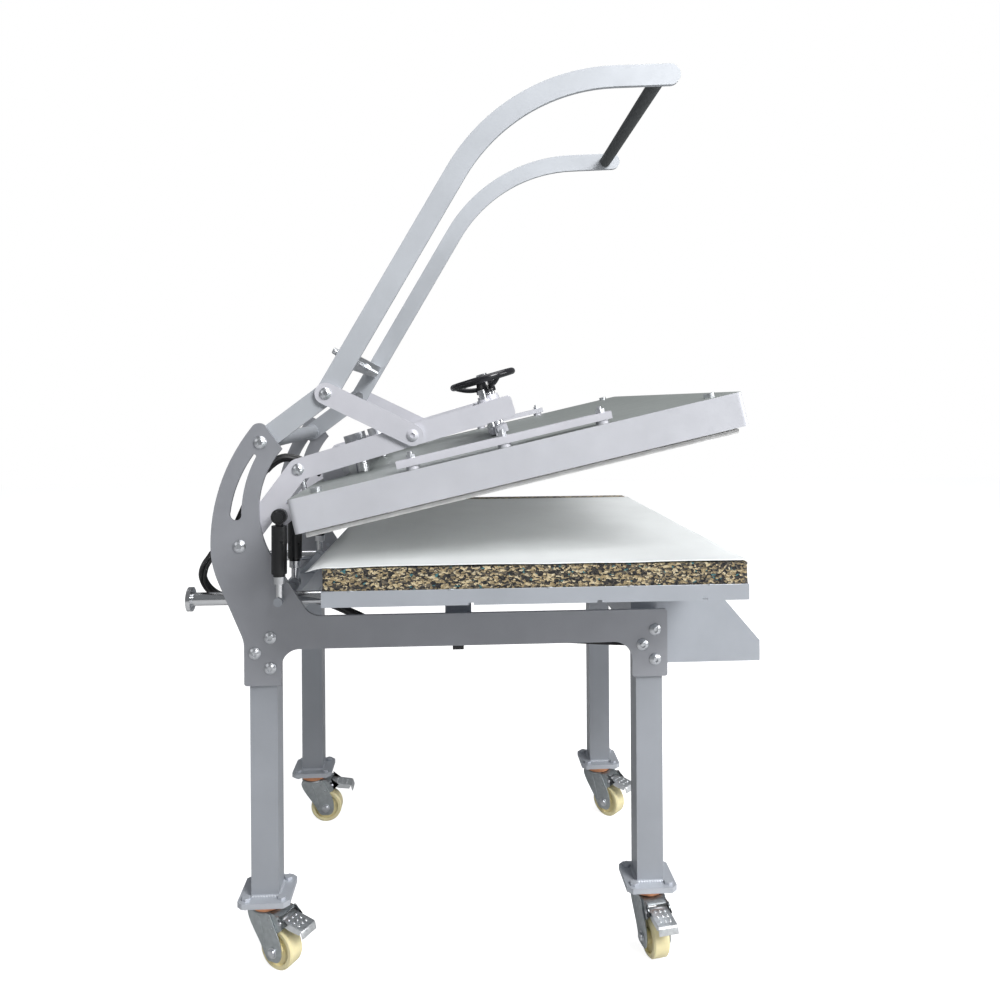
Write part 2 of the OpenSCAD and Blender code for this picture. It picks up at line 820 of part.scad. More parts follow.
// Cable entry and the saddle clip under the middle tube
module cable_glands() {
  color("#22252a") placed() {
    translate([gland_x, box_back, gland_z]) rotate([-90, 0, 0]) difference() {
      cylinder(d = gland_d, h = gland_l);
      translate([0, 0, -over]) cylinder(d = gland_bore, h = gland_l + 2 * over);
    }
    difference() {
      translate([gland_x - gland_d / 2, mid_tube_y - gland_l / 2, clip_z - gland_d / 2])
        cube([gland_d, gland_l, frame_z - clip_z + gland_d / 2]);
      translate([gland_x, mid_tube_y - gland_l / 2 - over, clip_z]) rotate([-90, 0, 0])
        cylinder(d = gland_bore, h = gland_l + 2 * over);
    }
  }
}

// One closed tube along a route, with square-on rings
module swept_cable(route, r) {
  count = len(route);
  dirs = [for (i = [0:count - 1])
    let (d = route[min(i + 1, count - 1)] - route[max(i - 1, 0)]) d / norm(d)];
  points = [for (i = [0:count - 1])
    let (
      side = cross(dirs[i], [1, 0, 0]),
      a = side / norm(side),
      b = cross(dirs[i], a)
    )
    for (k = [0:cable_sides - 1])
      route[i] + r * (cos(360 * k / cable_sides) * a + sin(360 * k / cable_sides) * b)];
  walls = [for (i = [0:count - 2]) for (k = [0:cable_sides - 1])
    let (n = (k + 1) % cable_sides)
    [i * cable_sides + k, i * cable_sides + n, (i + 1) * cable_sides + n, (i + 1) * cable_sides + k]];
  polyhedron(points, concat(
    [[for (k = [cable_sides - 1:-1:0]) k]],
    walls,
    [[for (k = [0:cable_sides - 1]) (count - 1) * cable_sides + k]]
  ));
}

module frame_cable() {
  color("#17181a") placed() swept_cable(frame_route, cable_d / 2);
}

module platen_cable() {
  color("#17181a") placed() swept_cable(platen_route, cable_d / 2);
}

// Castors, each drawn trailing along its own x
module at_castor(i) {
  placed() translate([castor_places[i][0], castor_places[i][1], 0])
    rotate([0, 0, castor_angles[i]]) children();
}

module castor_plates() {
  color("#c4c7cb") for (p = castor_places) placed() translate([p[0], p[1], 0]) {
    difference() {
      translate([0, 0, castor_h - swivel_plate_t]) foot_plate(swivel_plate_t);
      translate([0, 0, castor_h - swivel_plate_t - over]) foot_bolt_places()
        cylinder(d = stud_d + 2 * fit_gap, h = swivel_plate_t + 2 * over);
    }
    translate([0, 0, castor_h - swivel_plate_t - king_reach]) cylinder(d = king_d, h = king_reach);
    translate([0, 0, castor_h - swivel_plate_t - king_reach]) cylinder(d = king_nut_d, h = king_nut_h);
    foot_bolt_places() {
      translate([0, 0, leg_z]) cylinder(d = stud_nut_d, h = foot_bolt_head_h, $fn = hex);
      translate([0, 0, castor_h - swivel_plate_t - foot_bolt_head_h])
        cylinder(d = stud_d, h = leg_z - castor_h + swivel_plate_t + foot_bolt_head_h);
      translate([0, 0, castor_h - swivel_plate_t - foot_bolt_head_h])
        cylinder(d = stud_nut_d, h = foot_bolt_head_h, $fn = hex);
    }
  }
}

module swivel_seals() {
  color("#b5683a") for (p = castor_places) placed()
    translate([p[0], p[1], castor_h - swivel_plate_t - seal_h]) difference() {
      cylinder(d = seal_d, h = seal_h);
      translate([0, 0, -over]) cylinder(d = seal_bore, h = seal_h + 2 * over);
    }
}

module castor_fork(i) {
  color("#c4c7cb") at_castor(i) {
    difference() {
      translate([0, 0, fork_top_z - fork_top_t]) cylinder(d = fork_top_d, h = fork_top_t);
      translate([0, 0, fork_top_z - fork_top_t - over])
        cylinder(d = king_d + 2 * run_gap, h = fork_top_t + 2 * over);
    }
    for (y = [-fork_in - fork_t, fork_in]) translate([0, y + fork_t, 0]) rotate([90, 0, 0])
      linear_extrude(fork_t) difference() {
        union() {
          polygon([
            [-fork_top_d * fork_back_share, fork_top_z], [fork_top_d * fork_front_share, fork_top_z],
            [pedal_hinge[0] + pedal_barrel_r, pedal_hinge[1] + pedal_barrel_r],
            [pedal_hinge[0] + pedal_barrel_r, pedal_hinge[1] - pedal_barrel_r],
            [castor_trail + fork_eye_r, axle_z], [castor_trail - fork_eye_r, axle_z],
            [-fork_top_d * fork_back_share, fork_top_z - fork_top_t]
          ]);
          translate([castor_trail, axle_z]) circle(r = fork_eye_r);
        }
        translate([castor_trail, axle_z]) circle(d = axle_d + 2 * fit_gap);
        translate(pedal_hinge) circle(d = pedal_pin_d + 2 * fit_gap);
      }
    translate([castor_trail, 0, axle_z]) rotate([90, 0, 0]) {
      translate([0, 0, -fork_in - fork_t]) cylinder(d = axle_d, h = 2 * (fork_in + fork_t));
      translate([0, 0, fork_in + fork_t]) cylinder(d = axle_head_d, h = axle_head_h, $fn = hex);
      translate([0, 0, -fork_in - fork_t - axle_head_h])
        cylinder(d = axle_head_d, h = axle_head_h, $fn = hex);
    }
    translate([pedal_hinge[0], fork_in + fork_t, pedal_hinge[1]]) rotate([90, 0, 0])
      cylinder(d = pedal_pin_d, h = 2 * (fork_in + fork_t));
  }
}

module castor_wheel(i) {
  r = wheel_d / 2;
  color("#efe6c8") at_castor(i) translate([castor_trail, 0, axle_z]) rotate([90, 0, 0]) rotate_extrude()
    polygon([
      [axle_d / 2 + run_gap, -hub_half], [r * wheel_hub_share, -hub_half],
      [r * wheel_hub_share, -wheel_w * web_half_share], [r * wheel_rim_share, -wheel_w * web_half_share],
      [r * wheel_rim_share, -wheel_w / 2],
      [r - wheel_chamfer, -wheel_w / 2], [r, wheel_chamfer - wheel_w / 2],
      [r, wheel_w / 2 - wheel_chamfer], [r - wheel_chamfer, wheel_w / 2],
      [r * wheel_rim_share, wheel_w / 2], [r * wheel_rim_share, wheel_w * web_half_share],
      [r * wheel_hub_share, wheel_w * web_half_share], [r * wheel_hub_share, hub_half],
      [axle_d / 2 + run_gap, hub_half]
    ]);
}

module castor_pedal(i) {
  color("#c4c7cb") at_castor(i) difference() {
    translate([0, pedal_half_w, 0]) rotate([90, 0, 0]) linear_extrude(2 * pedal_half_w) union() {
      translate(pedal_hinge) circle(r = pedal_barrel_r);
      polygon([
        pedal_hinge + [0, pedal_barrel_r], pedal_hinge + [0, pedal_barrel_r - pedal_t],
        pedal_hinge + [pedal_reach, pedal_barrel_r - pedal_t - pedal_fall],
        pedal_hinge + [pedal_reach + pedal_t, pedal_barrel_r - pedal_t - pedal_fall - pedal_lip],
        pedal_hinge + [pedal_reach + 2 * pedal_t, pedal_barrel_r - pedal_t - pedal_fall - pedal_lip],
        pedal_hinge + [pedal_reach + pedal_t, pedal_barrel_r - pedal_fall]
      ]);
    }
    translate([pedal_hinge[0], pedal_half_w + over, pedal_hinge[1]]) rotate([90, 0, 0])
      cylinder(d = pedal_pin_d + 2 * run_gap, h = 2 * (pedal_half_w + over));
  }
}

// Table
module tray() {
  color("#b4b9c1") placed() difference() {
    translate([-table_w / 2, tray_front, table_z]) cube([table_w, table_l, tray_h]);
    translate([tray_wall - table_w / 2, tray_front + tray_wall, table_z - over])
      cube([table_w - 2 * tray_wall, table_l - 2 * tray_wall, tray_h - tray_wall + over]);
    for (share = tray_notch_shares)
      translate([-table_w / 2 - over, tray_front + table_l * share, table_z - over])
        cube([table_w + 2 * over, tray_notch_l, tray_notch_h + over]);
  }
}

module foam_pad() {
  color("#3b3a38") placed() translate([-table_w / 2, tray_front, pad_z]) cube([table_w, table_l, pad_t]);
}

module cover_sheet() {
  color("#d9dbdc") placed() translate([-table_w / 2, tray_front, sheet_z]) linear_extrude(sheet_t)
    polygon([[0, 0], [sheet_w, 0], [sheet_w, table_l], [0, table_l + sheet_overhang]]);
}

module slide_rails() {
  color("#d5d8dc") placed() both() translate([-rail_gap / 2, 0, rail_z]) rotate([-90, 0, 0]) {
    translate([0, 0, rail_front]) cylinder(d = rail_d, h = rail_l);
    translate([0, 0, rail_rear - flange_t]) cylinder(d = flange_d, h = flange_t);
  }
}

module rail_supports() {
  color("#aab0b8") placed() both() {
    difference() {
      translate([-rail_gap / 2 - web_t / 2, tray_front + web_front_inset, rail_z])
        cube([web_t, table_l - web_front_inset - web_rear_inset, pad_z - tray_wall - web_flange_t - rail_z]);
      translate([-rail_gap / 2, tray_front, rail_z]) rotate([-90, 0, 0]) cylinder(d = rail_d, h = table_l);
    }
    translate([-rail_gap / 2 - web_flange_w / 2, tray_front + web_front_inset,
      pad_z - tray_wall - web_flange_t])
      cube([web_flange_w, table_l - web_front_inset - web_rear_inset, web_flange_t]);
  }
}

// Press arms
module arm_2d() {
  difference() {
    union() {
      bar2d(arm_pivot, arm_bend, arm_w);
      translate(arm_bend) rotate(180 - arm_beam_angle) {
        translate([0, -arm_w / 2]) square([arm_beam_l - arm_tip_r, arm_w]);
        translate([0, arm_tip_r - arm_w / 2]) square([arm_beam_l, arm_w - 2 * arm_tip_r]);
        for (y = [arm_tip_r - arm_w / 2, arm_w / 2 - arm_tip_r])
          translate([arm_beam_l - arm_tip_r, y]) circle(r = arm_tip_r);
      }
      translate(shaft_at) circle(r = shaft_lug_r);
    }
    translate(arm_pivot) circle(d = pin_d + 2 * run_gap);
    translate(arm_bend) circle(d = bolt_d + 2 * fit_gap);
    translate(link_pivot) circle(d = bolt_d + 2 * fit_gap);
    translate(shaft_at) circle(d = shaft_d + 2 * run_gap);
  }
}

module press_arms() {
  color("#b9bec6") placed() both() slab(-arm_out, arm_t) arm_2d();
}

module arm_bolts() {
  color("#c9ccd1") placed() both() {
    translate([-arm_out, arm_bend[0], arm_bend[1]]) rotate([0, -90, 0])
      button_bolt(bolt_d, bolt_head_d, bolt_head_h, arm_t + eye_t + eye_gap + nut_h);
    translate([arm_t + eye_t + eye_gap - arm_out, arm_bend[0], arm_bend[1]]) rotate([0, 90, 0])
      nut(nut_d, bolt_d, nut_h);
    cross_rod(-arm_out, nut_h - arm_in, link_pivot, bolt_d);
    translate([-arm_in, link_pivot[0], link_pivot[1]]) rotate([0, 90, 0]) nut(nut_d, bolt_d, nut_h);
  }
}

module box_beam(s, l, half_h) {
  translate([-arm_in, -s - l / 2, -half_h]) cube([2 * arm_in, l, 2 * half_h]);
}

module front_cross_beam() {
  color("#b9bec6") placed() on_beam() difference() {
    union() {
      difference() {
        box_beam(screw_s, beam_front_l, beam_front_half_h);
        translate([-arm_in - over, beam_wall - screw_s - beam_front_l / 2, beam_wall - beam_front_half_h])
          cube([2 * (arm_in + over), beam_front_l - 2 * beam_wall, 2 * (beam_front_half_h - beam_wall)]);
      }
      translate([0, -screw_s, -beam_front_half_h])
        cylinder(d = nut_boss_d, h = beam_front_half_h + nut_boss_top);
      for (side = [-1, 1]) translate([side * guide_x, -screw_s - side * guide_s_step, -beam_front_half_h])
        cylinder(d = guide_boss_d, h = beam_front_half_h + guide_boss_top);
    }
    translate([0, -screw_s, -beam_front_half_h - over])
      cylinder(d = screw_d + 2 * run_gap, h = beam_front_half_h + nut_boss_top + 2 * over);
    for (side = [-1, 1])
      translate([side * guide_x, -screw_s - side * guide_s_step, -beam_front_half_h - over])
        cylinder(d = guide_d + 2 * run_gap, h = beam_front_half_h + guide_boss_top + 2 * over);
  }
}

module rear_cross_beam() {
  color("#b9bec6") placed() on_beam() difference() {
    box_beam(beam_rear_s, beam_rear_l, beam_rear_half_h);
    translate([-arm_in - over, beam_wall - beam_rear_s - beam_rear_l / 2, beam_wall - beam_rear_half_h])
      cube([2 * (arm_in + over), beam_rear_l - 2 * beam_wall, 2 * (beam_rear_half_h - beam_wall)]);
    for (x = [-sleeve_x, sleeve_x]) translate([x, -beam_rear_s, -beam_rear_half_h - over])
      cylinder(d = sleeve_d, h = 2 * (beam_rear_half_h + over));
  }
}

// Eye bolts that carry the rear of the platen, and the sleeves that guide its posts
module platen_hangers() {
  color("#c9ccd1") placed() {
    on_platen() both() {
      difference() {
        union() {
          translate([-hanger_x - eye_t / 2, hanger_v, hanger_pivot_n]) rotate([0, 90, 0])
            cylinder(d = eye_d, h = eye_t);
          translate([-hanger_x, hanger_v, neck_n]) cylinder(d = neck_d, h = hanger_pivot_n - neck_n);
        }
        translate([-hanger_x - eye_t, hanger_v, hanger_pivot_n]) rotate([0, 90, 0])
          cylinder(d = bolt_d + 2 * fit_gap, h = 2 * eye_t);
      }
      translate([-hanger_x, hanger_v, hanger_low]) cylinder(d = hanger_d, h = neck_n - hanger_low);
      translate([-hanger_x, hanger_v, hanger_nut_n - stud_nut_h])
        cylinder(d = stud_nut_d, h = stud_nut_h, $fn = hex);
    }
    on_beam() both() translate([-sleeve_x, -beam_rear_s, -beam_rear_half_h]) difference() {
      cylinder(d = sleeve_d, h = beam_rear_half_h + sleeve_top);
      translate([0, 0, -over]) cylinder(d = sleeve_bore, h = beam_rear_half_h + sleeve_top + 2 * over);
    }
  }
}

module strut_shaft() {
  color("#9aa1aa") placed() cross_rod(-strut_outer_x - strut_eye_t / 2 - bracket_gap * 2,
    strut_outer_x + strut_eye_t / 2 + bracket_gap * 2, shaft_at, shaft_d);
}

// Pressure screw and what it lifts
module guide_rods() {
  color("#d5d8dc") placed() on_beam() for (side = [-1, 1])
    translate([side * guide_x, -screw_s - side * guide_s_step, -foot_top])
      cylinder(d = guide_d, h = guide_top + foot_top);
}

module pressure_foot() {
  color("#9aa1aa") placed() {
    on_beam() difference() {
      translate([-foot_block_w / 2, -screw_s - foot_block_l / 2, -foot_top - foot_block_h])
        cube([foot_block_w, foot_block_l, foot_block_h]);
      translate([0, -screw_s, -foot_top - screw_seat]) cylinder(d = screw_d + 2 * run_gap, h = foot_block_h);
    }
    both() cross_rod(-lug_x - lug_t / 2 - pin_head_t, -foot_block_w / 2, level_pivot, level_pin_d);
  }
}

module pressure_screw() {
  color("#c9ccd1") placed() on_beam() translate([0, -screw_s, run_gap - foot_top - screw_seat])
    cylinder(d = screw_d, h = foot_top + screw_seat + wheel_rise + screw_top - run_gap);
}

module handwheel() {
  rim_r = (wheel_rim_d - rim_tube_d) / 2;
  spoke_fall = wheel_rise - hub_low - hub_h / 2;
  spoke_r = rim_r - hub_d * spoke_root_share;
  color("#1d1f22") placed() on_beam() translate([0, -screw_s, 0]) difference() {
    union() {
      translate([0, 0, wheel_rise]) rotate_extrude() translate([rim_r, 0]) circle(d = rim_tube_d);
      translate([0, 0, hub_low]) cylinder(d1 = hub_d, d2 = hub_d * hub_neck_share, h = hub_h);
      translate([0, 0, hub_low + hub_h])
        cylinder(d = hub_d * hub_neck_share, h = wheel_rise - hub_low - hub_h);
      for (k = [0:spoke_count - 1]) rotate([0, 0, spoke_turn + 360 * k / spoke_count])
        translate([hub_d * spoke_root_share, 0, hub_low + hub_h / 2])
          rotate([0, atan2(spoke_r, spoke_fall), 0]) cylinder(d = spoke_d, h = norm([spoke_r, spoke_fall]));
    }
    translate([0, 0, hub_low - over]) cylinder(d = screw_d + 2 * run_gap, h = wheel_rise);
  }
}

// Platen
module stud_places() {
  for (x = [-bar_x, bar_x]) for (v = stud_places) translate([x, v, 0]) children();
}

module cap_places() {
  for (x = [-1, 1]) for (y = [-1, 1])
    translate([x * (cover_w / 2 - cap_inset), y * (cover_l / 2 - cap_inset), 0]) children();
}

module stud_bores(z, h) {
  stud_places() translate([0, 0, z]) cylinder(d = stud_d + 2 * fit_gap, h = h);
  cap_places() translate([0, 0, z]) cylinder(d = stud_d + 2 * fit_gap, h = h);
}

module hanger_bores(z, h) {
  both() translate([-hanger_x, hanger_v, z]) cylinder(d = hanger_hole, h = h);
}

module rounded_block(w, l, h, r) {
  translate([r - w / 2, -l / 2, 0]) cube([w - 2 * r, l, h]);
  translate([-w / 2, r - l / 2, 0]) cube([w, l - 2 * r, h]);
  for (x = [r - w / 2, w / 2 - r]) for (y = [r - l / 2, l / 2 - r])
    translate([x, y, 0]) cylinder(r = r, h = h);
}

module platen_cover() {
  color("#b4b9c1") placed() on_platen() {
    difference() {
      translate([0, 0, -cover_h]) rounded_block(cover_w, cover_l, cover_h, cover_corner_r);
      translate([0, 0, -cover_h - over]) rounded_block(cover_w - 2 * cover_wall, cover_l - 2 * cover_wall,
        cover_h - cover_wall + over, cover_corner_r - cover_wall);
      stud_bores(-cover_wall - over, cover_wall + 2 * over);
      hanger_bores(-cover_wall - over, cover_wall + 2 * over);
    }
    for (x = [-lug_x, lug_x]) difference() {
      slab(x - lug_t / 2, lug_t) union() {
        translate([-lug_r, 0]) square([2 * lug_r, level_rise]);
        translate([0, level_rise]) circle(r = lug_r);
      }
      cross_rod(x - lug_t, x + lug_t, [0, level_rise], level_pin_d + 2 * run_gap);
    }
    both() difference() {
      translate([-hanger_x - lug_plate_w / 2, cover_l / 2, lug_plate_n - lug_plate_t])
        cube([lug_plate_w, lug_plate_reach, lug_plate_t]);
      translate([-hanger_x, hanger_v, lug_plate_n - lug_plate_t - over])
        cylinder(d = hanger_hole, h = lug_plate_t + 2 * over);
    }
  }
}

module insulation_board() {
  color("#d8cfae") placed() on_platen() difference() {
    translate([board_gap - cover_w / 2 + cover_wall, board_gap - cover_l / 2 + cover_wall,
      -cover_wall - board_t])
      cube([cover_w - 2 * (cover_wall + board_gap), cover_l - 2 * (cover_wall + board_gap), board_t]);
    stud_bores(-cover_wall - board_t - over, board_t + 2 * over);
    hanger_bores(-cover_wall - board_t - over, board_t + 2 * over);
  }
}

module heat_plate() {
  color("#c8c6c0") placed() on_platen() difference() {
    translate([-heat_w / 2, -heat_l / 2, -cover_h - heat_proud]) cube([heat_w, heat_l, heat_t]);
    stud_bores(heat_top_n - heat_t / 2, heat_t);
  }
}

module platen_bars() {
  color("#c4c7cb") placed() on_platen() {
    for (x = [-bar_x, bar_x]) difference() {
      translate([x - bar_w / 2, bar_from, bar_spacer]) cube([bar_w, bar_to - bar_from, bar_t]);
      for (v = stud_places) translate([x, v, bar_spacer - over])
        cylinder(d = stud_d + 2 * fit_gap, h = bar_t + 2 * over);
    }
    stud_places() difference() {
      cylinder(d = bar_spacer_d, h = bar_spacer);
      translate([0, 0, -over]) cylinder(d = stud_d + 2 * fit_gap, h = bar_spacer + 2 * over);
    }
  }
}

module platen_studs() {
  root = heat_top_n - heat_t / 2;
  bar_top = bar_spacer + bar_t;
  color("#b0b4ba") placed() on_platen() {
    stud_places() {
      translate([0, 0, root]) cylinder(d = stud_d, h = bar_top + stud_top - root);
      translate([0, 0, bar_top]) cylinder(d = stud_nut_d, h = stud_nut_h, $fn = hex);
    }
    cap_places() {
      translate([0, 0, root]) cylinder(d = stud_d, h = -root);
      cylinder(d = cap_screw_d, h = cap_screw_h);
    }
  }
}

module platen_posts() {
  v = platen_v(beam_point(beam_rear_s, (sleeve_top - beam_rear_half_h) / 2));
  color("#d5d8dc") placed() on_platen() both() translate([-sleeve_x, v, 0]) {
    cylinder(d = post_d, h = post_l);
    translate([0, 0, post_l]) cylinder(d = post_head_d, h = post_head_h, $fn = hex);
  }
}

module terminal_box() {
  color("#26282c") placed() on_platen() difference() {
    translate([terminal_x, terminal_v, 0]) cube([terminal_w, terminal_l, terminal_h]);
    translate([terminal_x + cover_wall, terminal_v + cover_wall, cover_wall])
      cube([terminal_w - 2 * cover_wall, terminal_l - 2 * cover_wall, terminal_h - 2 * cover_wall]);
  }
}

// Handle
module handle_arm_2d() {
  difference() {
    union() {
      bar2d(handle_pivot, knee, arm_w);
      polygon(concat(
        [knee + arm_w / 2 * handle_out],
        arc(handle_bend_c, handle_bend_r + arm_w / 2, 90 - handle_angle, 90 - handle_end_angle),
        [handle_tip + arm_w / 2 * handle_end_out, handle_tip - arm_w / 2 * handle_end_out],
        arc(handle_bend_c, handle_bend_r - arm_w / 2, 90 - handle_end_angle, 90 - handle_angle),
        [knee - arm_w / 2 * handle_out]
      ));
      translate(handle_tip) circle(d = arm_w + 2 * end_proud);
    }
    translate(handle_pivot) circle(d = pin_d + 2 * run_gap);
    translate(knee) circle(d = bolt_d + 2 * fit_gap);
  }
}

module handle_arms() {
  color("#b9bec6") placed() both() slab(-arm_out, arm_t) handle_arm_2d();
}

module handle_grip() {
  color("#3a3d42") placed() cross_rod(-arm_in, arm_in, grip_at, grip_d);
}

module handle_pivot_tube() {
  color("#9aa1aa") placed() difference() {
    cross_rod(-arm_in, arm_in, handle_pivot, pivot_tube_d);
    cross_rod(-arm_in - over, arm_in + over, handle_pivot, pivot_tube_d - 2 * leg_wall);
  }
}

// A channel across the handle arms that carries the stop bolt
module handle_tie() {
  color("#c4c7cb") placed() translate([0, tie_at[0], tie_at[1]]) rotate([-handle_angle, 0, 0]) difference() {
    union() {
      translate([-arm_in, -tie_w / 2, -tie_h / 2]) cube([2 * arm_in, tie_w, tie_t]);
      translate([-arm_in, -tie_w / 2, -tie_h / 2]) cube([2 * arm_in, tie_t, tie_h]);
      translate([-arm_in, tie_w / 2 - tie_t, -tie_h / 2]) cube([2 * arm_in, tie_t, tie_h]);
    }
    translate([0, 0, -tie_h]) cylinder(d = stop_d + 2 * fit_gap, h = 2 * tie_h);
  }
}

module handle_bolts() {
  color("#c9ccd1") placed() {
    both() {
      translate([-side_in - link_t - run_gap, knee[0], knee[1]]) rotate([0, -90, 0])
        button_bolt(bolt_d, bolt_head_d, bolt_head_h, link_t + run_gap + arm_gap + arm_t + nut_h);
      translate([-arm_in, knee[0], knee[1]]) rotate([0, 90, 0]) nut(nut_d, bolt_d, nut_h);
    }
    translate([0, tie_at[0], tie_at[1]]) rotate([-handle_angle, 0, 0]) {
      translate([0, 0, -stop_reach]) cylinder(d = stop_d, h = stop_reach + stop_head_z);
      translate([0, 0, stop_head_z]) cylinder(d = stop_head_d, h = stop_head_h, $fn = hex);
      translate([0, 0, -tie_h / 2 - stop_head_h]) cylinder(d = stop_head_d, h = stop_head_h, $fn = hex);
      translate([0, 0, tie_t - tie_h / 2]) cylinder(d = stop_head_d, h = stop_head_h, $fn = hex);
    }
  }
}

// Links: a bored eye at the knee, and the head of the other bolt at the arm
module links() {
  color("#b9bec6") placed() both() {
    difference() {
      slab(-side_in - link_t, link_t) bar2d(knee, link_pivot, arm_w);
      cross_rod(-side_in - link_t - over, over - side_in, knee, bolt_d + 2 * run_gap);
    }
    translate([-side_in - link_t, link_pivot[0], link_pivot[1]]) rotate([0, -90, 0])
      button_bolt(bolt_d, bolt_head_d, bolt_head_h, 0);
  }
}

// Gas struts, rod end down
strut_dir = (shaft_at - strut_foot) / norm(shaft_at - strut_foot);
strut_tilt = atan2(strut_dir[0], strut_dir[1]);

module at_struts() {
  for (x = [-strut_outer_x, -strut_inner_x, strut_inner_x, strut_outer_x])
    translate([x, strut_foot[0], strut_foot[1]]) rotate([-strut_tilt, 0, 0]) children();
}

module gas_strut_rods() {
  color("#d5d8dc") placed() at_struts() difference() {
    union() {
      translate([-strut_eye_t / 2, 0, 0]) rotate([0, 90, 0]) cylinder(r = strut_eye_r, h = strut_eye_t);
      cylinder(d = strut_rod_d, h = strut_rod_l);
    }
    translate([-strut_eye_t, 0, 0]) rotate([0, 90, 0])
      cylinder(d = strut_pin_d + 2 * run_gap, h = 2 * strut_eye_t);
  }
}

module gas_strut_tubes() {
  reach = norm(shaft_at - strut_foot);
  color("#1d1f22") placed() at_struts() difference() {
    union() {
      translate([0, 0, collar_from]) cylinder(d = strut_collar_d, h = collar_to - collar_from);
      translate([0, 0, collar_to]) cylinder(d = strut_tube_d, h = tube_to - collar_to);
      translate([0, 0, tube_to]) cylinder(d = strut_rod_d, h = reach - tube_to);
      translate([-strut_eye_t / 2, 0, reach]) rotate([0, 90, 0]) cylinder(r = strut_top_r, h = strut_eye_t);
    }
    translate([0, 0, collar_from - over])
      cylinder(d = strut_rod_d + 2 * run_gap, h = strut_rod_l + strut_room - collar_from + over);
    translate([-strut_eye_t, 0, reach]) rotate([0, 90, 0])
      cylinder(d = shaft_d + 2 * open_pivot_gap, h = 2 * strut_eye_t);
  }
}

module front_left_fork() {
  castor_fork(0);
}

module front_right_fork() {
  castor_fork(1);
}

module rear_left_fork() {
  castor_fork(2);
}

module rear_right_fork() {
  castor_fork(3);
}

module front_left_wheel() {
  castor_wheel(0);
}

module front_right_wheel() {
  castor_wheel(1);
}

module rear_left_wheel() {
  castor_wheel(2);
}

module rear_right_wheel() {
  castor_wheel(3);
}

module front_left_pedal() {
  castor_pedal(0);
}

module front_right_pedal() {
  castor_pedal(1);
}

module rear_left_pedal() {
  castor_pedal(2);
}

module rear_right_pedal() {
  castor_pedal(3);
}

left_side_plate();
right_side_plate();
legs();
cross_tubes();
frame_bolts();
pivot_bolts();
rail_bearings();
strut_brackets();
control_box();
control_panel();
up_key();
down_key();
power_rocker();
cable_glands();
frame_cable();
castor_plates();
swivel_seals();
front_left_fork();
front_right_fork();
rear_left_fork();
rear_right_fork();
front_left_wheel();
front_right_wheel();
rear_left_wheel();
rear_right_wheel();
front_left_pedal();
front_right_pedal();
rear_left_pedal();
rear_right_pedal();
tray();
foam_pad();
cover_sheet();
slide_rails();
rail_supports();
press_arms();
arm_bolts();
front_cross_beam();
rear_cross_beam();
platen_hangers();
strut_shaft();
guide_rods();
pressure_foot();
pressure_screw();
handwheel();
platen_cover();
insulation_board();
heat_plate();
platen_bars();
platen_studs();
platen_posts();
terminal_box();
platen_cable();
handle_arms();
handle_grip();
handle_pivot_tube();
handle_tie();
handle_bolts();
links();
gas_strut_rods();
gas_strut_tubes();
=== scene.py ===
import math
import random

import bmesh
import bpy
from mathutils import Matrix, Vector


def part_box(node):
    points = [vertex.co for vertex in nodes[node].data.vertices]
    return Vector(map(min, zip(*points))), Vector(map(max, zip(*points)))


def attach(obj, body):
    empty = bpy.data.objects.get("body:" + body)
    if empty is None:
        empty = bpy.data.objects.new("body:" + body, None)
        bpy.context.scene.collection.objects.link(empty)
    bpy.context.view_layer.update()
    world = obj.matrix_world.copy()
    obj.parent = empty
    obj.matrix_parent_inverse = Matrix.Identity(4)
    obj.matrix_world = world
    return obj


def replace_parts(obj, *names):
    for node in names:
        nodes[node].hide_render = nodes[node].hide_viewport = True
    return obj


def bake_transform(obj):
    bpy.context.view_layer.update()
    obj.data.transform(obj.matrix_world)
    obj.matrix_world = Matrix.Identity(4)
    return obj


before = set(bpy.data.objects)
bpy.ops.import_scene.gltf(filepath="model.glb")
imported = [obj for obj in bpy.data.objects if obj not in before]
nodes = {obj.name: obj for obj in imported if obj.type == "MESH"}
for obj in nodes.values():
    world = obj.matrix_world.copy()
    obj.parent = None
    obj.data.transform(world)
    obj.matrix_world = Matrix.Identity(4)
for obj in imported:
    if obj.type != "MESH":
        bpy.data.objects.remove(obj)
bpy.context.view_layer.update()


# Camera: stands on the left of the press, level with the arms' front beam, and looks along +X and a touch
# towards the front. Its lens and place come from the measured edges of the table, the rails and the legs
# in the photograph.
eye = (-1.8424, 0.0535, 1.0429)
yaw, pitch, roll = (math.radians(a) for a in (-3.23, -0.06, -0.36))


def shot_camera():
    data = bpy.data.cameras.new("shot")
    data.sensor_width = 36
    data.lens = 29.85
    data.shift_x, data.shift_y = 0.0033, -0.0961
    data.clip_end = 60
    camera = bpy.data.objects.new("shot", data)
    bpy.context.scene.collection.objects.link(camera)
    ahead = Vector((math.cos(yaw) * math.cos(pitch), math.sin(yaw) * math.cos(pitch), math.sin(pitch)))
    right = ahead.cross(Vector((0, 0, 1))).normalized()
    up = right.cross(ahead)
    across = right * math.cos(roll) + up * math.sin(roll)
    above = up * math.cos(roll) - right * math.sin(roll)
    turn = Matrix((across, above, -ahead)).transposed().to_4x4()
    camera.matrix_world = Matrix.Translation(eye) @ turn
    bpy.context.scene.camera = camera


shot_camera()


# Floor and light: a plain pale studio floor and a white surround that keep white behind the object,
# one softbox high on the camera's right, a broad panel overhead, and weaker panels at the front and the rear.
def node_material(name):
    material = bpy.data.materials.new(name)
    material.use_nodes = True
    tree = material.node_tree
    tree.nodes.clear()
    out = tree.nodes.new("ShaderNodeOutputMaterial")
    shader = tree.nodes.new("ShaderNodeBsdfPrincipled")
    tree.links.new(shader.outputs[0], out.inputs[0])
    return material, tree, shader


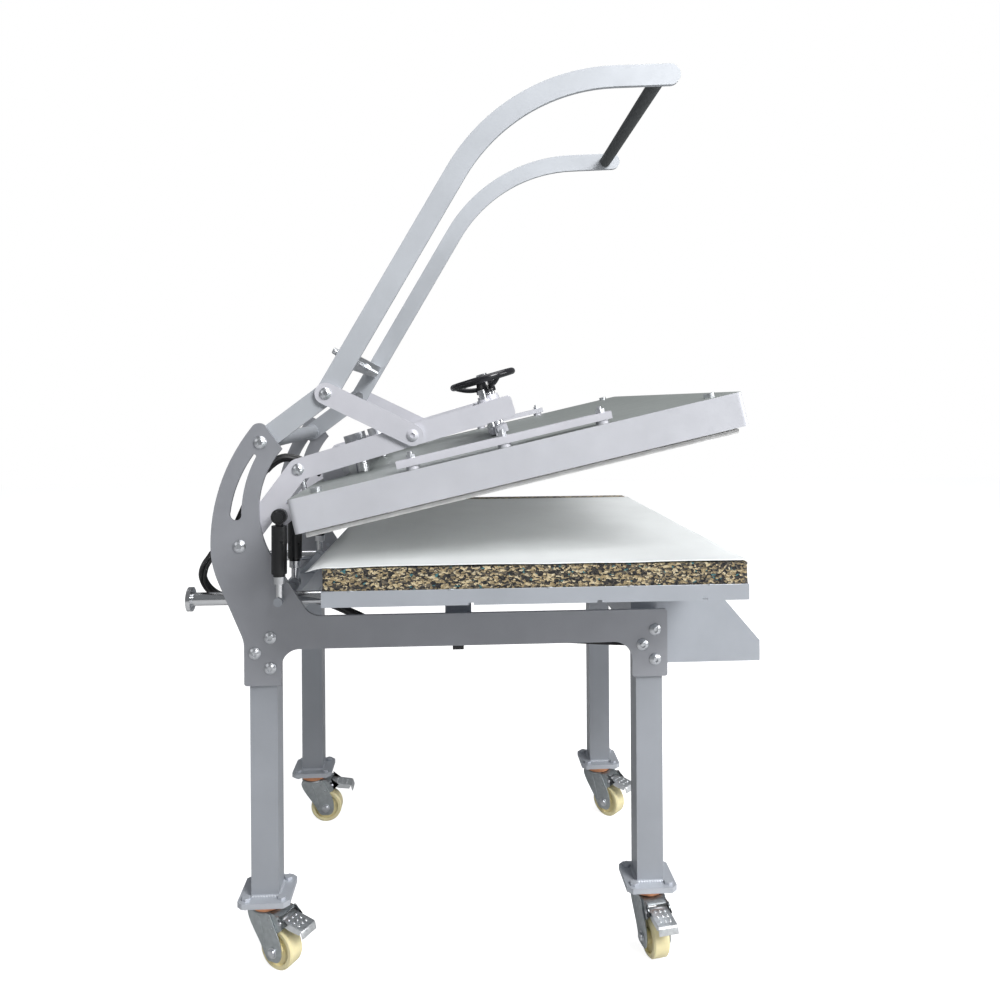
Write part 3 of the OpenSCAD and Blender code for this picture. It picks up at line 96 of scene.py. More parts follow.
def math_node(tree, operation, value, number):
    step = tree.nodes.new("ShaderNodeMath")
    step.operation = operation
    step.inputs[1].default_value = number
    tree.links.new(value, step.inputs[0])
    return step.outputs[0]


def panel_light(name, at, aim, size, power):
    data = bpy.data.lights.new(name, "AREA")
    data.shape = "RECTANGLE"
    data.size, data.size_y = size
    data.energy = power
    lamp = bpy.data.objects.new(name, data)
    bpy.context.scene.collection.objects.link(lamp)
    lamp.location = at
    lamp.rotation_euler = (Vector(aim) - Vector(at)).to_track_quat("-Z", "Y").to_euler()


def studio():
    reach, floor_grey, floor_glow, surround_light = 9, 0.55, 0.86, 0.2
    mesh = bpy.data.meshes.new("floor")
    corners = [(-reach, -reach, 0), (reach, -reach, 0), (reach, reach, 0), (-reach, reach, 0)]
    mesh.from_pydata(corners, [], [(0, 1, 2, 3)])
    floor = bpy.data.objects.new("floor", mesh)
    bpy.context.scene.collection.objects.link(floor)
    material, tree, shader = node_material("floor_white")
    shader.inputs["Base Color"].default_value = (floor_grey, floor_grey, floor_grey, 1)
    shader.inputs["Roughness"].default_value = 0.9
    shader.inputs["Emission Color"].default_value = (1, 1, 1, 1)
    path = tree.nodes.new("ShaderNodeLightPath")
    glow = math_node(tree, "MULTIPLY", path.outputs["Is Camera Ray"], floor_glow)
    tree.links.new(glow, shader.inputs["Emission Strength"])
    floor.data.materials.append(material)

    world = bpy.data.worlds.new("surround")
    bpy.context.scene.world = world
    world.use_nodes = True
    tree = world.node_tree
    tree.nodes.clear()
    out = tree.nodes.new("ShaderNodeOutputWorld")
    mix = tree.nodes.new("ShaderNodeMixShader")
    seen = tree.nodes.new("ShaderNodeBackground")
    lit = tree.nodes.new("ShaderNodeBackground")
    path = tree.nodes.new("ShaderNodeLightPath")
    seen.inputs[0].default_value = (1, 1, 1, 1)
    seen.inputs[1].default_value = 1.0
    lit.inputs[0].default_value = (0.94, 0.97, 1, 1)
    lit.inputs[1].default_value = surround_light
    tree.links.new(path.outputs["Is Camera Ray"], mix.inputs[0])
    tree.links.new(lit.outputs[0], mix.inputs[1])
    tree.links.new(seen.outputs[0], mix.inputs[2])
    tree.links.new(mix.outputs[0], out.inputs[0])

    panel_light("key", at=(-3.9, -2.6, 4.1), aim=(-0.2, 0, 0.8), size=(2.1, 2.1), power=345)
    panel_light("overhead", at=(0.2, -0.5, 4.6), aim=(0, -0.1, 0.8), size=(3.4, 3.0), power=80)
    panel_light("front", at=(-0.8, -3.3, 1.5), aim=(0, 0, 0.8), size=(1.6, 1.0), power=34)
    panel_light("from_rear", at=(-1.6, 2.7, 2.1), aim=(0, 0.2, 0.8), size=(1.6, 1.6), power=9)
    bpy.context.scene.view_settings.view_transform = "Standard"


studio()


# Stand: laser-cut side plates, square legs on welded foot plates, square cross tubes and strut brackets.
# Mild steel sprayed in copies of one silver-grey enamel: the side plates' copy holds more flake and is
# darker, painted shade for the table above them; the feet's copy is lighter, painted light on their lit tops,
# and ends just above the weld between foot plate and leg.
leg_x, front_y, rear_y = 0.265, -0.32, 0.40
foot_top, foot_line = 0.1342, 0.1385


def mapped(tree, scale):
    where = tree.nodes.new("ShaderNodeTexCoord")
    spread = tree.nodes.new("ShaderNodeMapping")
    spread.inputs["Scale"].default_value = scale if hasattr(scale, "__len__") else (scale, scale, scale)
    tree.links.new(where.outputs["Object"], spread.inputs["Vector"])
    return spread.outputs[0]


def noise(tree, scale, detail, rough=0.55):
    n = tree.nodes.new("ShaderNodeTexNoise")
    n.inputs["Scale"].default_value = 1
    n.inputs["Detail"].default_value = detail
    n.inputs["Roughness"].default_value = rough
    tree.links.new(mapped(tree, scale), n.inputs["Vector"])
    return n.outputs[0]


def ramp(tree, value, stops, change="LINEAR"):
    r = tree.nodes.new("ShaderNodeValToRGB")
    r.color_ramp.interpolation = change
    while len(r.color_ramp.elements) < len(stops):
        r.color_ramp.elements.new(0.5)
    for element, (place, colour) in zip(r.color_ramp.elements, stops):
        element.position = place
        element.color = (*colour, 1) if hasattr(colour, "__len__") else (colour, colour, colour, 1)
    tree.links.new(value, r.inputs[0])
    return r.outputs[0]


def bump(tree, shader, height, depth, strength=1.0):
    b = tree.nodes.new("ShaderNodeBump")
    b.inputs["Distance"].default_value = depth
    b.inputs["Strength"].default_value = strength
    tree.links.new(height, b.inputs["Height"])
    tree.links.new(b.outputs[0], shader.inputs["Normal"])


def enamel(name, colour, rough=0.42, metal=0.35):
    spread, peel = 0.05, 0.000015
    material, tree, shader = node_material(name)
    low = tuple(c * (1 - spread) for c in colour)
    high = tuple(min(1, c * (1 + spread)) for c in colour)
    tree.links.new(ramp(tree, noise(tree, 9, 5), [(0.3, low), (0.7, high)]), shader.inputs["Base Color"])
    tree.links.new(ramp(tree, noise(tree, 40, 4), [(0.25, rough - 0.05), (0.75, rough + 0.06)]),
                   shader.inputs["Roughness"])
    shader.inputs["Metallic"].default_value = metal
    shader.inputs["Coat Weight"].default_value = 0.15
    shader.inputs["Coat Roughness"].default_value = 0.3
    bump(tree, shader, noise(tree, 900, 2), peel)
    return material


def dress(material, *names):
    for name in names:
        data = nodes[name].data
        data.materials.clear()
        data.materials.append(material)


def colour_mix(tree, first, blend="MIX"):
    mix = tree.nodes.new("ShaderNodeMix")
    mix.data_type = "RGBA"
    mix.blend_type = blend
    tree.links.new(first, mix.inputs[6])
    return mix


def shader_of(material):
    return next(n for n in material.node_tree.nodes if n.type == "BSDF_PRINCIPLED")


def second_coat(material, share):
    tree, shader = material.node_tree, shader_of(material)
    mix = colour_mix(tree, shader.inputs["Base Color"].links[0].from_socket)
    tree.links.new(share, mix.inputs[0])
    tree.links.new(mix.outputs[2], shader.inputs["Base Color"])
    return mix.inputs[7]


def by_height(material, level, below, bare=False):
    tree = material.node_tree
    place = tree.nodes.new("ShaderNodeSeparateXYZ")
    tree.links.new(tree.nodes.new("ShaderNodeTexCoord").outputs["Object"], place.inputs[0])
    lower = math_node(tree, "LESS_THAN", place.outputs["Z"], level)
    second_coat(material, lower).default_value = (*below, 1)
    if bare:
        tree.links.new(lower, shader_of(material).inputs["Metallic"])
    return material


silver = enamel("silver_enamel", (0.41, 0.435, 0.475))
# Side plates: a darker copy of the stand's silver enamel, painted shade for the table's shadow over them.
shaded_plate_silver = enamel("plate_enamel", (0.345, 0.355, 0.385), metal=0.45)
# Feet: a lighter copy of the stand's silver enamel, painted light on the lit foot plates, also laid on the
# legs' lowest millimetres.
lit_foot_colour = (0.51, 0.535, 0.58)
lit_foot_silver = enamel("foot_enamel", lit_foot_colour)
dress(by_height(enamel("leg_enamel", (0.36, 0.38, 0.415)), foot_line, lit_foot_colour), "legs")
dress(silver, "cross_tubes", "strut_brackets")
dress(shaded_plate_silver, "left_side_plate", "right_side_plate")


def tube_mesh(name, path, radius, sides, ripple=0.0, pitch=0.004, closed=False):
    path = [Vector(p) for p in path]
    count = len(path)
    rings, along = [], 0.0
    side = None
    bm = bmesh.new()
    for i, p in enumerate(path):
        a = path[(i - 1) % count] if closed or i else p
        b = path[(i + 1) % count] if closed or i < count - 1 else p
        ahead = (b - a).normalized()
        if side is None:
            side = ahead.orthogonal().normalized()
        side = (side - ahead * side.dot(ahead)).normalized()
        up = ahead.cross(side)
        along += (p - path[i - 1]).length if i else 0
        r = radius * (1 + ripple * abs(math.sin(math.pi * along / pitch)))
        ring = []
        for k in range(sides):
            t = 2 * math.pi * k / sides
            ring.append(bm.verts.new(p + side * (r * math.cos(t)) + up * (r * math.sin(t))))
        rings.append(ring)
    last = count if closed else count - 1
    for i in range(last):
        a, b = rings[i], rings[(i + 1) % count]
        for k in range(sides):
            bm.faces.new((a[k], a[(k + 1) % sides], b[(k + 1) % sides], b[k]))
    if not closed:
        bm.faces.new(rings[0][::-1])
        bm.faces.new(rings[-1])
    bmesh.ops.recalc_face_normals(bm, faces=bm.faces)
    return piece_from(name, bm)


def piece_from(name, bm, smooth=True):
    mesh = bpy.data.meshes.new(name)
    bm.to_mesh(mesh)
    bm.free()
    for polygon in mesh.polygons:
        polygon.use_smooth = smooth
    piece = bpy.data.objects.new(name, mesh)
    bpy.context.scene.collection.objects.link(piece)
    return piece


def join(name, parts):
    bm = bmesh.new()
    for part in parts:
        bm.from_mesh(part.data)
        bpy.data.objects.remove(part)
    return piece_from(name, bm)


def paint(piece, material, body):
    piece.data.materials.clear()
    piece.data.materials.append(material)
    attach(piece, body)
    return piece


def dense(path, step):
    out = []
    for a, b in zip(path, path[1:]):
        a, b = Vector(a), Vector(b)
        n = max(1, round((b - a).length / step))
        out += [a.lerp(b, i / n) for i in range(n)]
    return out + [Vector(path[-1])]


def bead(loop, radius):
    return tube_mesh("bead", loop, radius, 8, ripple=0.3, pitch=0.005, closed=True)


def bead_round(corners, radius):
    step = 0.0012
    return bead(dense(corners + corners[:1], step)[:-1], radius)


def foot_welds():
    half = 0.025
    beads = []
    for x in (-leg_x, leg_x):
        for y in (front_y, rear_y):
            square = [(x - half, y - half), (x + half, y - half), (x + half, y + half), (x - half, y + half)]
            beads.append(bead_round([(u, v, foot_top) for u, v in square], 0.0026))
    return join("foot_welds", beads)


# The foot welds take the lighter foot copy of the enamel, painted light.
paint(foot_welds(), lit_foot_silver, "frame")


# Fasteners of the stand, the arms and the handle: zinc-plated steel bolts and nuts,
# bright with a mottled passivated film and a few darker handling marks.
def plated(name, colour, rough, mottle=0.12, grain=0.00006, scale=120, metal=1.0):
    material, tree, shader = node_material(name)
    low = tuple(c * (1 - mottle) for c in colour)
    tree.links.new(ramp(tree, noise(tree, scale, 5, 0.65), [(0.35, low), (0.65, colour)]),
                   shader.inputs["Base Color"])
    tree.links.new(ramp(tree, noise(tree, scale * 2, 4), [(0.3, rough * 0.8), (0.7, rough * 1.3)]),
                   shader.inputs["Roughness"])
    shader.inputs["Metallic"].default_value = metal
    bump(tree, shader, noise(tree, scale * 8, 2), grain)
    return material


zinc = plated("zinc_plate", (0.70, 0.72, 0.75), 0.32)
dress(zinc, "frame_bolts", "pivot_bolts", "arm_bolts", "handle_bolts")


# Castors: each fork is pressed from sheet steel, a dished ring with two cheeks that sweep back to the axle,
# and carries the hinged brake pedal; blue zinc, with a copper-coloured swivel seal and a cream nylon wheel.
axle, hinge = (0.032, 0.0375), (0.047, 0.093)
cheek_in, cheek_out = 0.0222, 0.0249


def plastic(name, colour, rough, grain=0.00004, scale=700, sss=0.0):
    spread = 0.08
    material, tree, shader = node_material(name)
    low = tuple(c * (1 - spread) for c in colour)
    high = tuple(min(1, c * (1 + spread)) for c in colour)
    tree.links.new(ramp(tree, noise(tree, 30, 4), [(0.3, low), (0.7, high)]), shader.inputs["Base Color"])
    tree.links.new(ramp(tree, noise(tree, 60, 3), [(0.3, rough * 0.85), (0.7, rough * 1.15)]),
                   shader.inputs["Roughness"])
    if sss:
        shader.inputs["Subsurface Weight"].default_value = sss
        shader.inputs["Subsurface Radius"].default_value = (0.004, 0.003, 0.002)
        shader.inputs["Subsurface Scale"].default_value = 1.0
    bump(tree, shader, noise(tree, scale, 2), grain)
    return material


def rounded(corners):
    steps = 5
    out = []
    for i, (x, z, r) in enumerate(corners):
        here = Vector((x, z))
        before, after = Vector(corners[i - 1][:2]), Vector(corners[(i + 1) % len(corners)][:2])
        start, end = here + (before - here).normalized() * r, here + (after - here).normalized() * r
        for k in range(steps + 1 if r else 1):
            t = k / steps
            p = start * (1 - t) ** 2 + here * (2 * t * (1 - t)) + end * t * t
            out.append((p.x, p.y))
    return out


def plate(outline, low, high, edge):
    tiny = 1e-9
    bm = bmesh.new()
    base = bm.faces.new([bm.verts.new((x, low, z)) for x, z in outline])
    for item in bmesh.ops.extrude_face_region(bm, geom=[base])["geom"]:
        if isinstance(item, bmesh.types.BMVert):
            item.co.y = high
    bmesh.ops.recalc_face_normals(bm, faces=bm.faces)
    rims = [e for e in bm.edges if abs(e.verts[0].co.y - e.verts[1].co.y) < tiny]
    bmesh.ops.bevel(bm, geom=rims, offset=edge, segments=2, affect="EDGES", profile=0.6)
    return piece_from("plate", bm, smooth=False)


def lathe(profile, sides, ring=False, smooth=True, at=(0, 0, 0), facing=(0, 0, 1)):
    turns = [2 * math.pi * (k + 0.5) / sides for k in range(sides)]
    bm = bmesh.new()
    rows = []
    for radius, height in profile:
        rows.append([bm.verts.new((radius * math.cos(t), radius * math.sin(t), height)) for t in turns])
    for a, b in zip(rows, rows[1:] + (rows[:1] if ring else [])):
        for k in range(sides):
            bm.faces.new((a[k], a[(k + 1) % sides], b[(k + 1) % sides], b[k]))
    if not ring:
        bm.faces.new(rows[0][::-1])
        bm.faces.new(rows[-1])
    bmesh.ops.recalc_face_normals(bm, faces=bm.faces)
    piece = piece_from("turned", bm, smooth)
    aim = Vector(facing).to_track_quat("Z", "Y").to_matrix().to_4x4()
    piece.data.transform(Matrix.Translation(at) @ aim)
    return piece


def fork_parts():
    ring = [(0.0064, 0.1014), (0.0270, 0.1014), (0.0298, 0.1028), (0.0294, 0.1050), (0.0262, 0.1071),
            (0.0064, 0.1073)]
    skin = rounded([
        (-0.0262, 0.1060, 0), (-0.0285, 0.0990, 0.005), (-0.0240, 0.0860, 0.008), (-0.0120, 0.0680, 0.008),
        (0.0030, 0.0480, 0.008), (0.0130, 0.0310, 0.004), (0.0200, 0.0205, 0.005), (0.0440, 0.0205, 0.006),
        (0.0520, 0.0320, 0.006), (0.0515, 0.0500, 0.006), (0.0480, 0.0620, 0.004), (0.0245, 0.1060, 0)])
    gusset = rounded([
        (0.0180, 0.1055, 0), (0.0500, 0.1045, 0.004), (0.0570, 0.0990, 0.005), (0.0580, 0.0900, 0.004),
        (0.0520, 0.0820, 0.004), (0.0400, 0.0730, 0), (0.0220, 0.0800, 0)])
    apron = rounded([
        (0.0230, 0.1072, 0), (0.0330, 0.1066, 0.004), (0.0425, 0.1024, 0.003), (0.0440, 0.1008, 0.0005),
        (0.0425, 0.1002, 0.0005), (0.0320, 0.1046, 0.003), (0.0230, 0.1050, 0)])
    folds = [((-0.0050, 0.1050), (0.0040, 0.0830), (0.0110, 0.0580), (0.0150, 0.0400)),
             ((0.0243, 0.1052), (0.0352, 0.0850), (0.0475, 0.0630))]
    spot = [(0.0026, 0), (0.0023, 0.0006), (0.0013, 0.0010), (0.0002, 0.0011)]
    gusset_in, on_cheek, on_gusset, fold_y = 0.0200, 0.0247, 0.0220, 0.0246
    spots = ((0.0215, 0.0950, on_cheek), (0.0295, 0.0805, on_cheek), (0.0405, 0.1000, on_gusset))
    parts = [lathe(ring, 56, ring=True)]
    for side in (-1, 1):
        parts.append(plate(skin, *sorted((cheek_in * side, cheek_out * side)), edge=0.0007))
        parts.append(plate(gusset, *sorted((gusset_in * side, cheek_in * side)), edge=0.0004))
        for fold in folds:
            line = [(x, fold_y * side, z) for x, z in fold]
            parts.append(tube_mesh("fold", dense(line, 0.004), 0.0012, 8))
        for x, z, depth in spots:
            parts.append(lathe(spot, 14, at=(x, depth * side, z), facing=(0, side, 0)))
    parts.append(plate(apron, -cheek_in, cheek_in, edge=0.0004))
    return parts


def axle_parts():
    axle_half, pin_half, washer_t = 0.0290, 0.0245, 0.0014
    washer = [(0.0098, 0), (0.0100, 0.0002), (0.0100, 0.0012), (0.0097, washer_t)]
    nut = [(0.0080, 0), (0.0082, 0.0004), (0.0082, 0.0034), (0.0072, 0.0042)]
    rivet = [(0.0044, 0), (0.0044, 0.0008), (0.0030, 0.0020), (0.0004, 0.0024)]
    parts = [tube_mesh("axle", [(axle[0], -axle_half, axle[1]), (axle[0], axle_half, axle[1])], 0.0049, 20),
             tube_mesh("pin", [(hinge[0], -pin_half, hinge[1]), (hinge[0], pin_half, hinge[1])], 0.0029, 16)]
    for side in (-1, 1):
        out = (0, side, 0)
        nut_y = (cheek_out + washer_t) * side
        parts.append(lathe(washer, 32, at=(axle[0], cheek_out * side, axle[1]), facing=out))
        parts.append(lathe(nut, 6, smooth=False, at=(axle[0], nut_y, axle[1]), facing=out))
        parts.append(lathe(rivet, 20, at=(hinge[0], cheek_in * side, hinge[1]), facing=out))
    return parts


def pedal_parts():
    bore, barrel_r, half = 0.0031, 0.0060, 0.0185
    barrel = [(bore, -half), (barrel_r, -half), (barrel_r, half), (bore, half)]
    pedal_half, wing_in = 0.0190, 0.0172
    heel_x, heel_z, fall = 0.0440, 0.0988, 0.157
    tread = rounded([
        (0.0420, 0.0958, 0), (heel_x, heel_z, 0.002), (0.0950, 0.0908, 0.004), (0.0990, 0.0770, 0.001),
        (0.0966, 0.0766, 0.0005), (0.0930, 0.0884, 0.003), (0.0450, 0.0962, 0.001)])
    wing = rounded([
        (0.0455, 0.0970, 0), (0.0920, 0.0895, 0.001), (0.0905, 0.0815, 0.003), (0.0640, 0.0840, 0.004),
        (0.0520, 0.0880, 0.002)])
    dimple = [(0.0030, -0.0004), (0.0026, 0.0006), (0.0012, 0.0011), (0.0010, 0.0002)]
    parts = [lathe(barrel, 28, ring=True, at=(hinge[0], 0, hinge[1]), facing=(0, 1, 0)),
             plate(tread, -pedal_half, pedal_half, edge=0.0006)]
    parts += [plate(wing, *sorted((pedal_half * side, wing_in * side)), edge=0.0004) for side in (-1, 1)]
    for x in (0.058, 0.070, 0.082):
        for y in (-0.0095, 0.0, 0.0095):
            top = heel_z - (x - heel_x) * fall
            parts.append(lathe(dimple, 16, at=(x, y, top), facing=(0.155, 0, 0.988)))
    return parts


def castor(corner, turn):
    x, y = (-leg_x if "left" in corner else leg_x), (front_y if "front" in corner else rear_y)
    place = Matrix.Translation((x, y, 0)) @ Matrix.Rotation(math.radians(turn), 4, "Z")
    for name, parts, material, body, stands_in in (
            ("fork_pressing", fork_parts(), pressed_zinc, "_fork", True),
            ("axle_and_pin", axle_parts(), zinc, "_fork", False),
            ("brake_pedal", pedal_parts(), pedal_zinc, "_pedal", True)):
        piece = join(corner + "_" + name, parts)
        piece.data.transform(place)
        paint(piece, material, corner + body)
        if stands_in:
            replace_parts(piece, corner + body)
    dress(nylon, corner + "_wheel")


pressed_zinc = plated("pressed_zinc", (0.50, 0.535, 0.55), 0.42, mottle=0.2)
pedal_zinc = plated("pedal_zinc", (0.85, 0.875, 0.89), 0.38, mottle=0.15)
nylon = plastic("cream_nylon", (0.86, 0.77, 0.46), 0.38, sss=0.1)
copper = plated("copper_seal", (0.86, 0.42, 0.24), 0.5)
for corner, turn in (("front_left", -170), ("front_right", -135), ("rear_left", -120), ("rear_right", -90)):
    castor(corner, turn)
dress(copper, "swivel_seals")
# The castor plates take the lighter foot copy of the enamel, painted light.
dress(lit_foot_silver, "castor_plates")


# Slide: two ground steel rails with end flanges, carried by open-topped bearing blocks on the stand
# and hung from the tray by T-shaped supports, which are enamelled like the stand.
chrome = plated("ground_steel", (0.74, 0.75, 0.77), 0.16, mottle=0.06, grain=0.00002, scale=60)
dress(chrome, "slide_rails")
dress(silver, "rail_bearings", "rail_supports")


# Tray: folded from 2 mm steel sheet and enamelled like the stand; it carries the foam pad on the slide.
# Its rim is hemmed and shows a small step at each bend relief.
def tray_hem():
    low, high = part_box("tray")
    proud, inset, step_half = 0.0003, 0.0010, 0.005
    rim = high.z + proud
    near, far, front, rear = low.x + inset, high.x - inset, low.y + inset, high.y - inset
    loop = [(x, y, rim) for x, y in ((near, front), (far, front), (far, rear), (near, rear), (near, front))]
    parts = [tube_mesh("hem", dense(loop, 0.02)[:-1], 0.0010, 8, closed=True)]
    for share in (0.06, 0.29, 0.52, 0.71, 0.9):
        y = high.y + (low.y - high.y) * share
        line = [(near, y, rim), (near, y - step_half, rim + proud), (near, y - 2 * step_half, rim)]
        parts.append(tube_mesh("step", line, 0.0014, 8))
    return join("tray_hem", parts)


dress(silver, "tray")
paint(tray_hem(), silver, "table")


# Foam pad: a slab of rebonded foam chips (dark, tan and ochre with a few blue-green ones) glued in the tray.
# Its cut sides are rough at the size of the chips and pull in a little between the corners.
def grid_box(low, high, step):
    counts = [max(1, round((high[i] - low[i]) / step)) for i in range(3)]
    bm = bmesh.new()
    seen = {}

    def vertex(i, j, k):
        key = (i, j, k)
        if key not in seen:
            seen[key] = bm.verts.new([low[a] + (high[a] - low[a]) * key[a] / counts[a] for a in range(3)])
        return seen[key]

    for axis in range(3):
        u, v = (axis + 1) % 3, (axis + 2) % 3
        for end in (0, counts[axis]):
            for i in range(counts[u]):
                for j in range(counts[v]):
                    corners = []
                    for du, dv in ((0, 0), (1, 0), (1, 1), (0, 1)):
                        key = [0, 0, 0]
                        key[axis], key[u], key[v] = end, i + du, j + dv
                        corners.append(vertex(*key))
                    bm.faces.new(corners if end else corners[::-1])
    return bm


def foam_slab():
    step, soft, band, hollow, rough, tiny = 0.0075, 0.004, 0.006, 0.0012, 0.0012, 1e-6
    side_gap, top_gap = 0.0004, 0.0003
    low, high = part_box("foam_pad")
    low, high = low + Vector((side_gap, side_gap, 0)), high - Vector((side_gap, side_gap, top_gap))
    cut_low, cut_high = low.z + 0.003, high.z - 0.002
    bm = grid_box(low, high, step)
    rng = random.Random(7)
    for v in bm.verts:
        inner = Vector([min(max(v.co[a], low[a] + soft), high[a] - soft) for a in range(3)])
        inner.z = min(max(v.co.z, low.z), high.z - soft)
        out = v.co - inner
        if out.length > tiny:
            v.co = inner + out.normalized() * soft
        side = abs(v.co.x) > high.x - band or v.co.y < low.y + band or v.co.y > high.y - band
        if side and cut_low < v.co.z < cut_high:
            middle = math.sin(math.pi * (v.co.z - low.z) / (high.z - low.z))
            pull = hollow * middle + rng.uniform(0, rough)
            flat = Vector((out.x, out.y, 0))
            if flat.length > tiny:
                v.co -= flat.normalized() * pull
    return piece_from("foam_slab", bm)


def chip_foam():
    chip_scale, drift_scale, drift_far, speck_share = (230, 215, 400), 170, 2.4, 0.7
    material, tree, shader = node_material("rebonded_foam")
    cells = tree.nodes.new("ShaderNodeTexVoronoi")
    cells.inputs["Scale"].default_value = 1
    drift = tree.nodes.new("ShaderNodeTexNoise")
    drift.inputs["Scale"].default_value = drift_scale
    wander = tree.nodes.new("ShaderNodeVectorMath")
    wander.operation = "MULTIPLY_ADD"
    wander.inputs[1].default_value = (drift_far, drift_far, drift_far)
    tree.links.new(mapped(tree, 1), drift.inputs["Vector"])
    tree.links.new(drift.outputs[1], wander.inputs[0])
    tree.links.new(mapped(tree, chip_scale), wander.inputs[2])
    tree.links.new(wander.outputs[0], cells.inputs["Vector"])
    pick = tree.nodes.new("ShaderNodeSeparateColor")
    tree.links.new(cells.outputs["Color"], pick.inputs[0])
    chips = ramp(tree, pick.outputs[0], [
        (0.0, (0.014, 0.014, 0.016)), (0.28, (0.05, 0.045, 0.04)), (0.45, (0.40, 0.31, 0.17)),
        (0.60, (0.14, 0.12, 0.09)), (0.71, (0.66, 0.54, 0.33)), (0.84, (0.27, 0.21, 0.12)),
        (0.93, (0.06, 0.20, 0.22)), (0.95, (0.72, 0.62, 0.42))], "CONSTANT")
    speck = colour_mix(tree, chips, "MULTIPLY")
    speck.inputs[0].default_value = speck_share
    tree.links.new(ramp(tree, noise(tree, 620, 4, 0.7), [(0.3, 0.35), (0.65, 1.0)]), speck.inputs[7])
    tree.links.new(speck.outputs[2], shader.inputs["Base Color"])
    shader.inputs["Roughness"].default_value = 0.95
    shader.inputs["Sheen Weight"].default_value = 0.2
    bump(tree, shader, cells.outputs["Distance"], 0.002, strength=0.8)
    return material


slab = foam_slab()
paint(slab, chip_foam(), "table")
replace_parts(slab, "foam_pad")


# Cover sheet: a loose pale release sheet of coated cloth, narrower than the pad and laid a little askew,
# so it waves along its near edge and its near rear corner hangs past the pad.
def cloth(name, colour, rough):
    threads = 1400
    material, tree, shader = node_material(name)
    low = tuple(c * 0.93 for c in colour)
    tree.links.new(ramp(tree, noise(tree, 6, 5), [(0.3, low), (0.7, colour)]), shader.inputs["Base Color"])
    tree.links.new(ramp(tree, noise(tree, 25, 3), [(0.3, rough - 0.08), (0.7, rough + 0.08)]),
                   shader.inputs["Roughness"])
    shader.inputs["Sheen Weight"].default_value = 0.15
    weave = []
    for direction in ("X", "Y"):
        wave = tree.nodes.new("ShaderNodeTexWave")
        wave.bands_direction = direction
        wave.inputs["Scale"].default_value = 1
        wave.inputs["Distortion"].default_value = 0.3
        tree.links.new(mapped(tree, threads / 6), wave.inputs["Vector"])
        weave.append(wave.outputs[1])
    cross = tree.nodes.new("ShaderNodeMath")
    cross.operation = "MULTIPLY"
    tree.links.new(weave[0], cross.inputs[0])
    tree.links.new(weave[1], cross.inputs[1])
    bump(tree, shader, cross.outputs[0], 0.00018)
    return material


def release_sheet():
    low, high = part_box("cover_sheet")
    hang, droop, thick, closed_gap = 0.024, 0.9, 0.0007, 0.0026
    near_wave, front_wave, middle_wave, near_reach, front_reach = 0.0062, 0.0012, 0.0009, 0.035, 0.03
    wide, front, pad_top, fold = high.x - low.x, low.y + 0.001, low.z + 0.0002, high.y - hang - 0.004
    nx, ny = 110, 90
    bm = bmesh.new()
    grid = []
    for j in range(ny + 1):
        row = []
        for i in range(nx + 1):
            x = low.x + wide * i / nx
            rear = high.y - hang * i / nx
            y = front + (rear - front) * j / ny
            near, ahead = math.exp(-(x - low.x) / near_reach), math.exp(-(y - low.y) / front_reach)
            ripple = (0.5 + 0.5 * math.sin(x * 8 + y * 5)) * (0.5 + 0.5 * math.sin(y * 9 - x * 3))
            rise = near_wave * near * (0.5 + 0.32 * math.sin(y * 15 + 0.9) + 0.18 * math.sin(y * 39 + 2))
            rise += front_wave * ahead * (0.5 + 0.5 * math.sin(x * 19)) + middle_wave * ripple
            z = pad_top + closed_gap * (1 - math.exp(-rise / closed_gap))
            z -= droop * max(0.0, y - fold) ** 1.35
            row.append(bm.verts.new((x, y, z)))
        grid.append(row)
    for j in range(ny):
        for i in range(nx):
            bm.faces.new((grid[j][i], grid[j][i + 1], grid[j + 1][i + 1], grid[j + 1][i]))
    sheet = piece_from("release_sheet", bm)
    shell = sheet.modifiers.new("thickness", "SOLIDIFY")
    shell.thickness = thick
    shell.offset = 1
    bpy.context.view_layer.objects.active = sheet
    bpy.ops.object.modifier_apply(modifier="thickness")
    return sheet


sheet = release_sheet()
paint(sheet, cloth("release_cloth", (0.80, 0.825, 0.83), 0.42), "table")
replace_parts(sheet, "cover_sheet")


# Arms: two flat press arms joined by a front and a rear box beam, welded all round inside and enamelled,
# with zinc-plated eye bolts for the platen and a black enamelled cross shaft for the gas struts.
arm_lean, arm_bend = math.radians(16.3), (0.33494, 0.92207)
front_beam, rear_beam = 0.389, 0.110


def beam_point(x, s, n):
    c, d = math.cos(arm_lean), math.sin(arm_lean)
    return (x, arm_bend[0] - s * c + n * d, arm_bend[1] + s * d + n * c)


def beam_welds():
    arm_inside, wide_half = 0.2788, 0.025
    beads = []
    for x in (-arm_inside, arm_inside):
        for s, half in ((front_beam, 0.018), (rear_beam, 0.016)):
            corners = [(-wide_half, -half), (wide_half, -half), (wide_half, half), (-wide_half, half)]
            beads.append(bead_round([beam_point(x, s + a, b) for a, b in corners], 0.0022))
    return join("beam_welds", beads)


arm_silver = enamel("arm_enamel", (0.63, 0.63, 0.68), metal=0.25)
black_paint = enamel("black_enamel", (0.016, 0.017, 0.019), 0.3, metal=0.0)
dress(arm_silver, "press_arms", "front_cross_beam", "rear_cross_beam")
dress(zinc, "platen_hangers")
dress(black_paint, "strut_shaft")
paint(beam_welds(), arm_silver, "arms")


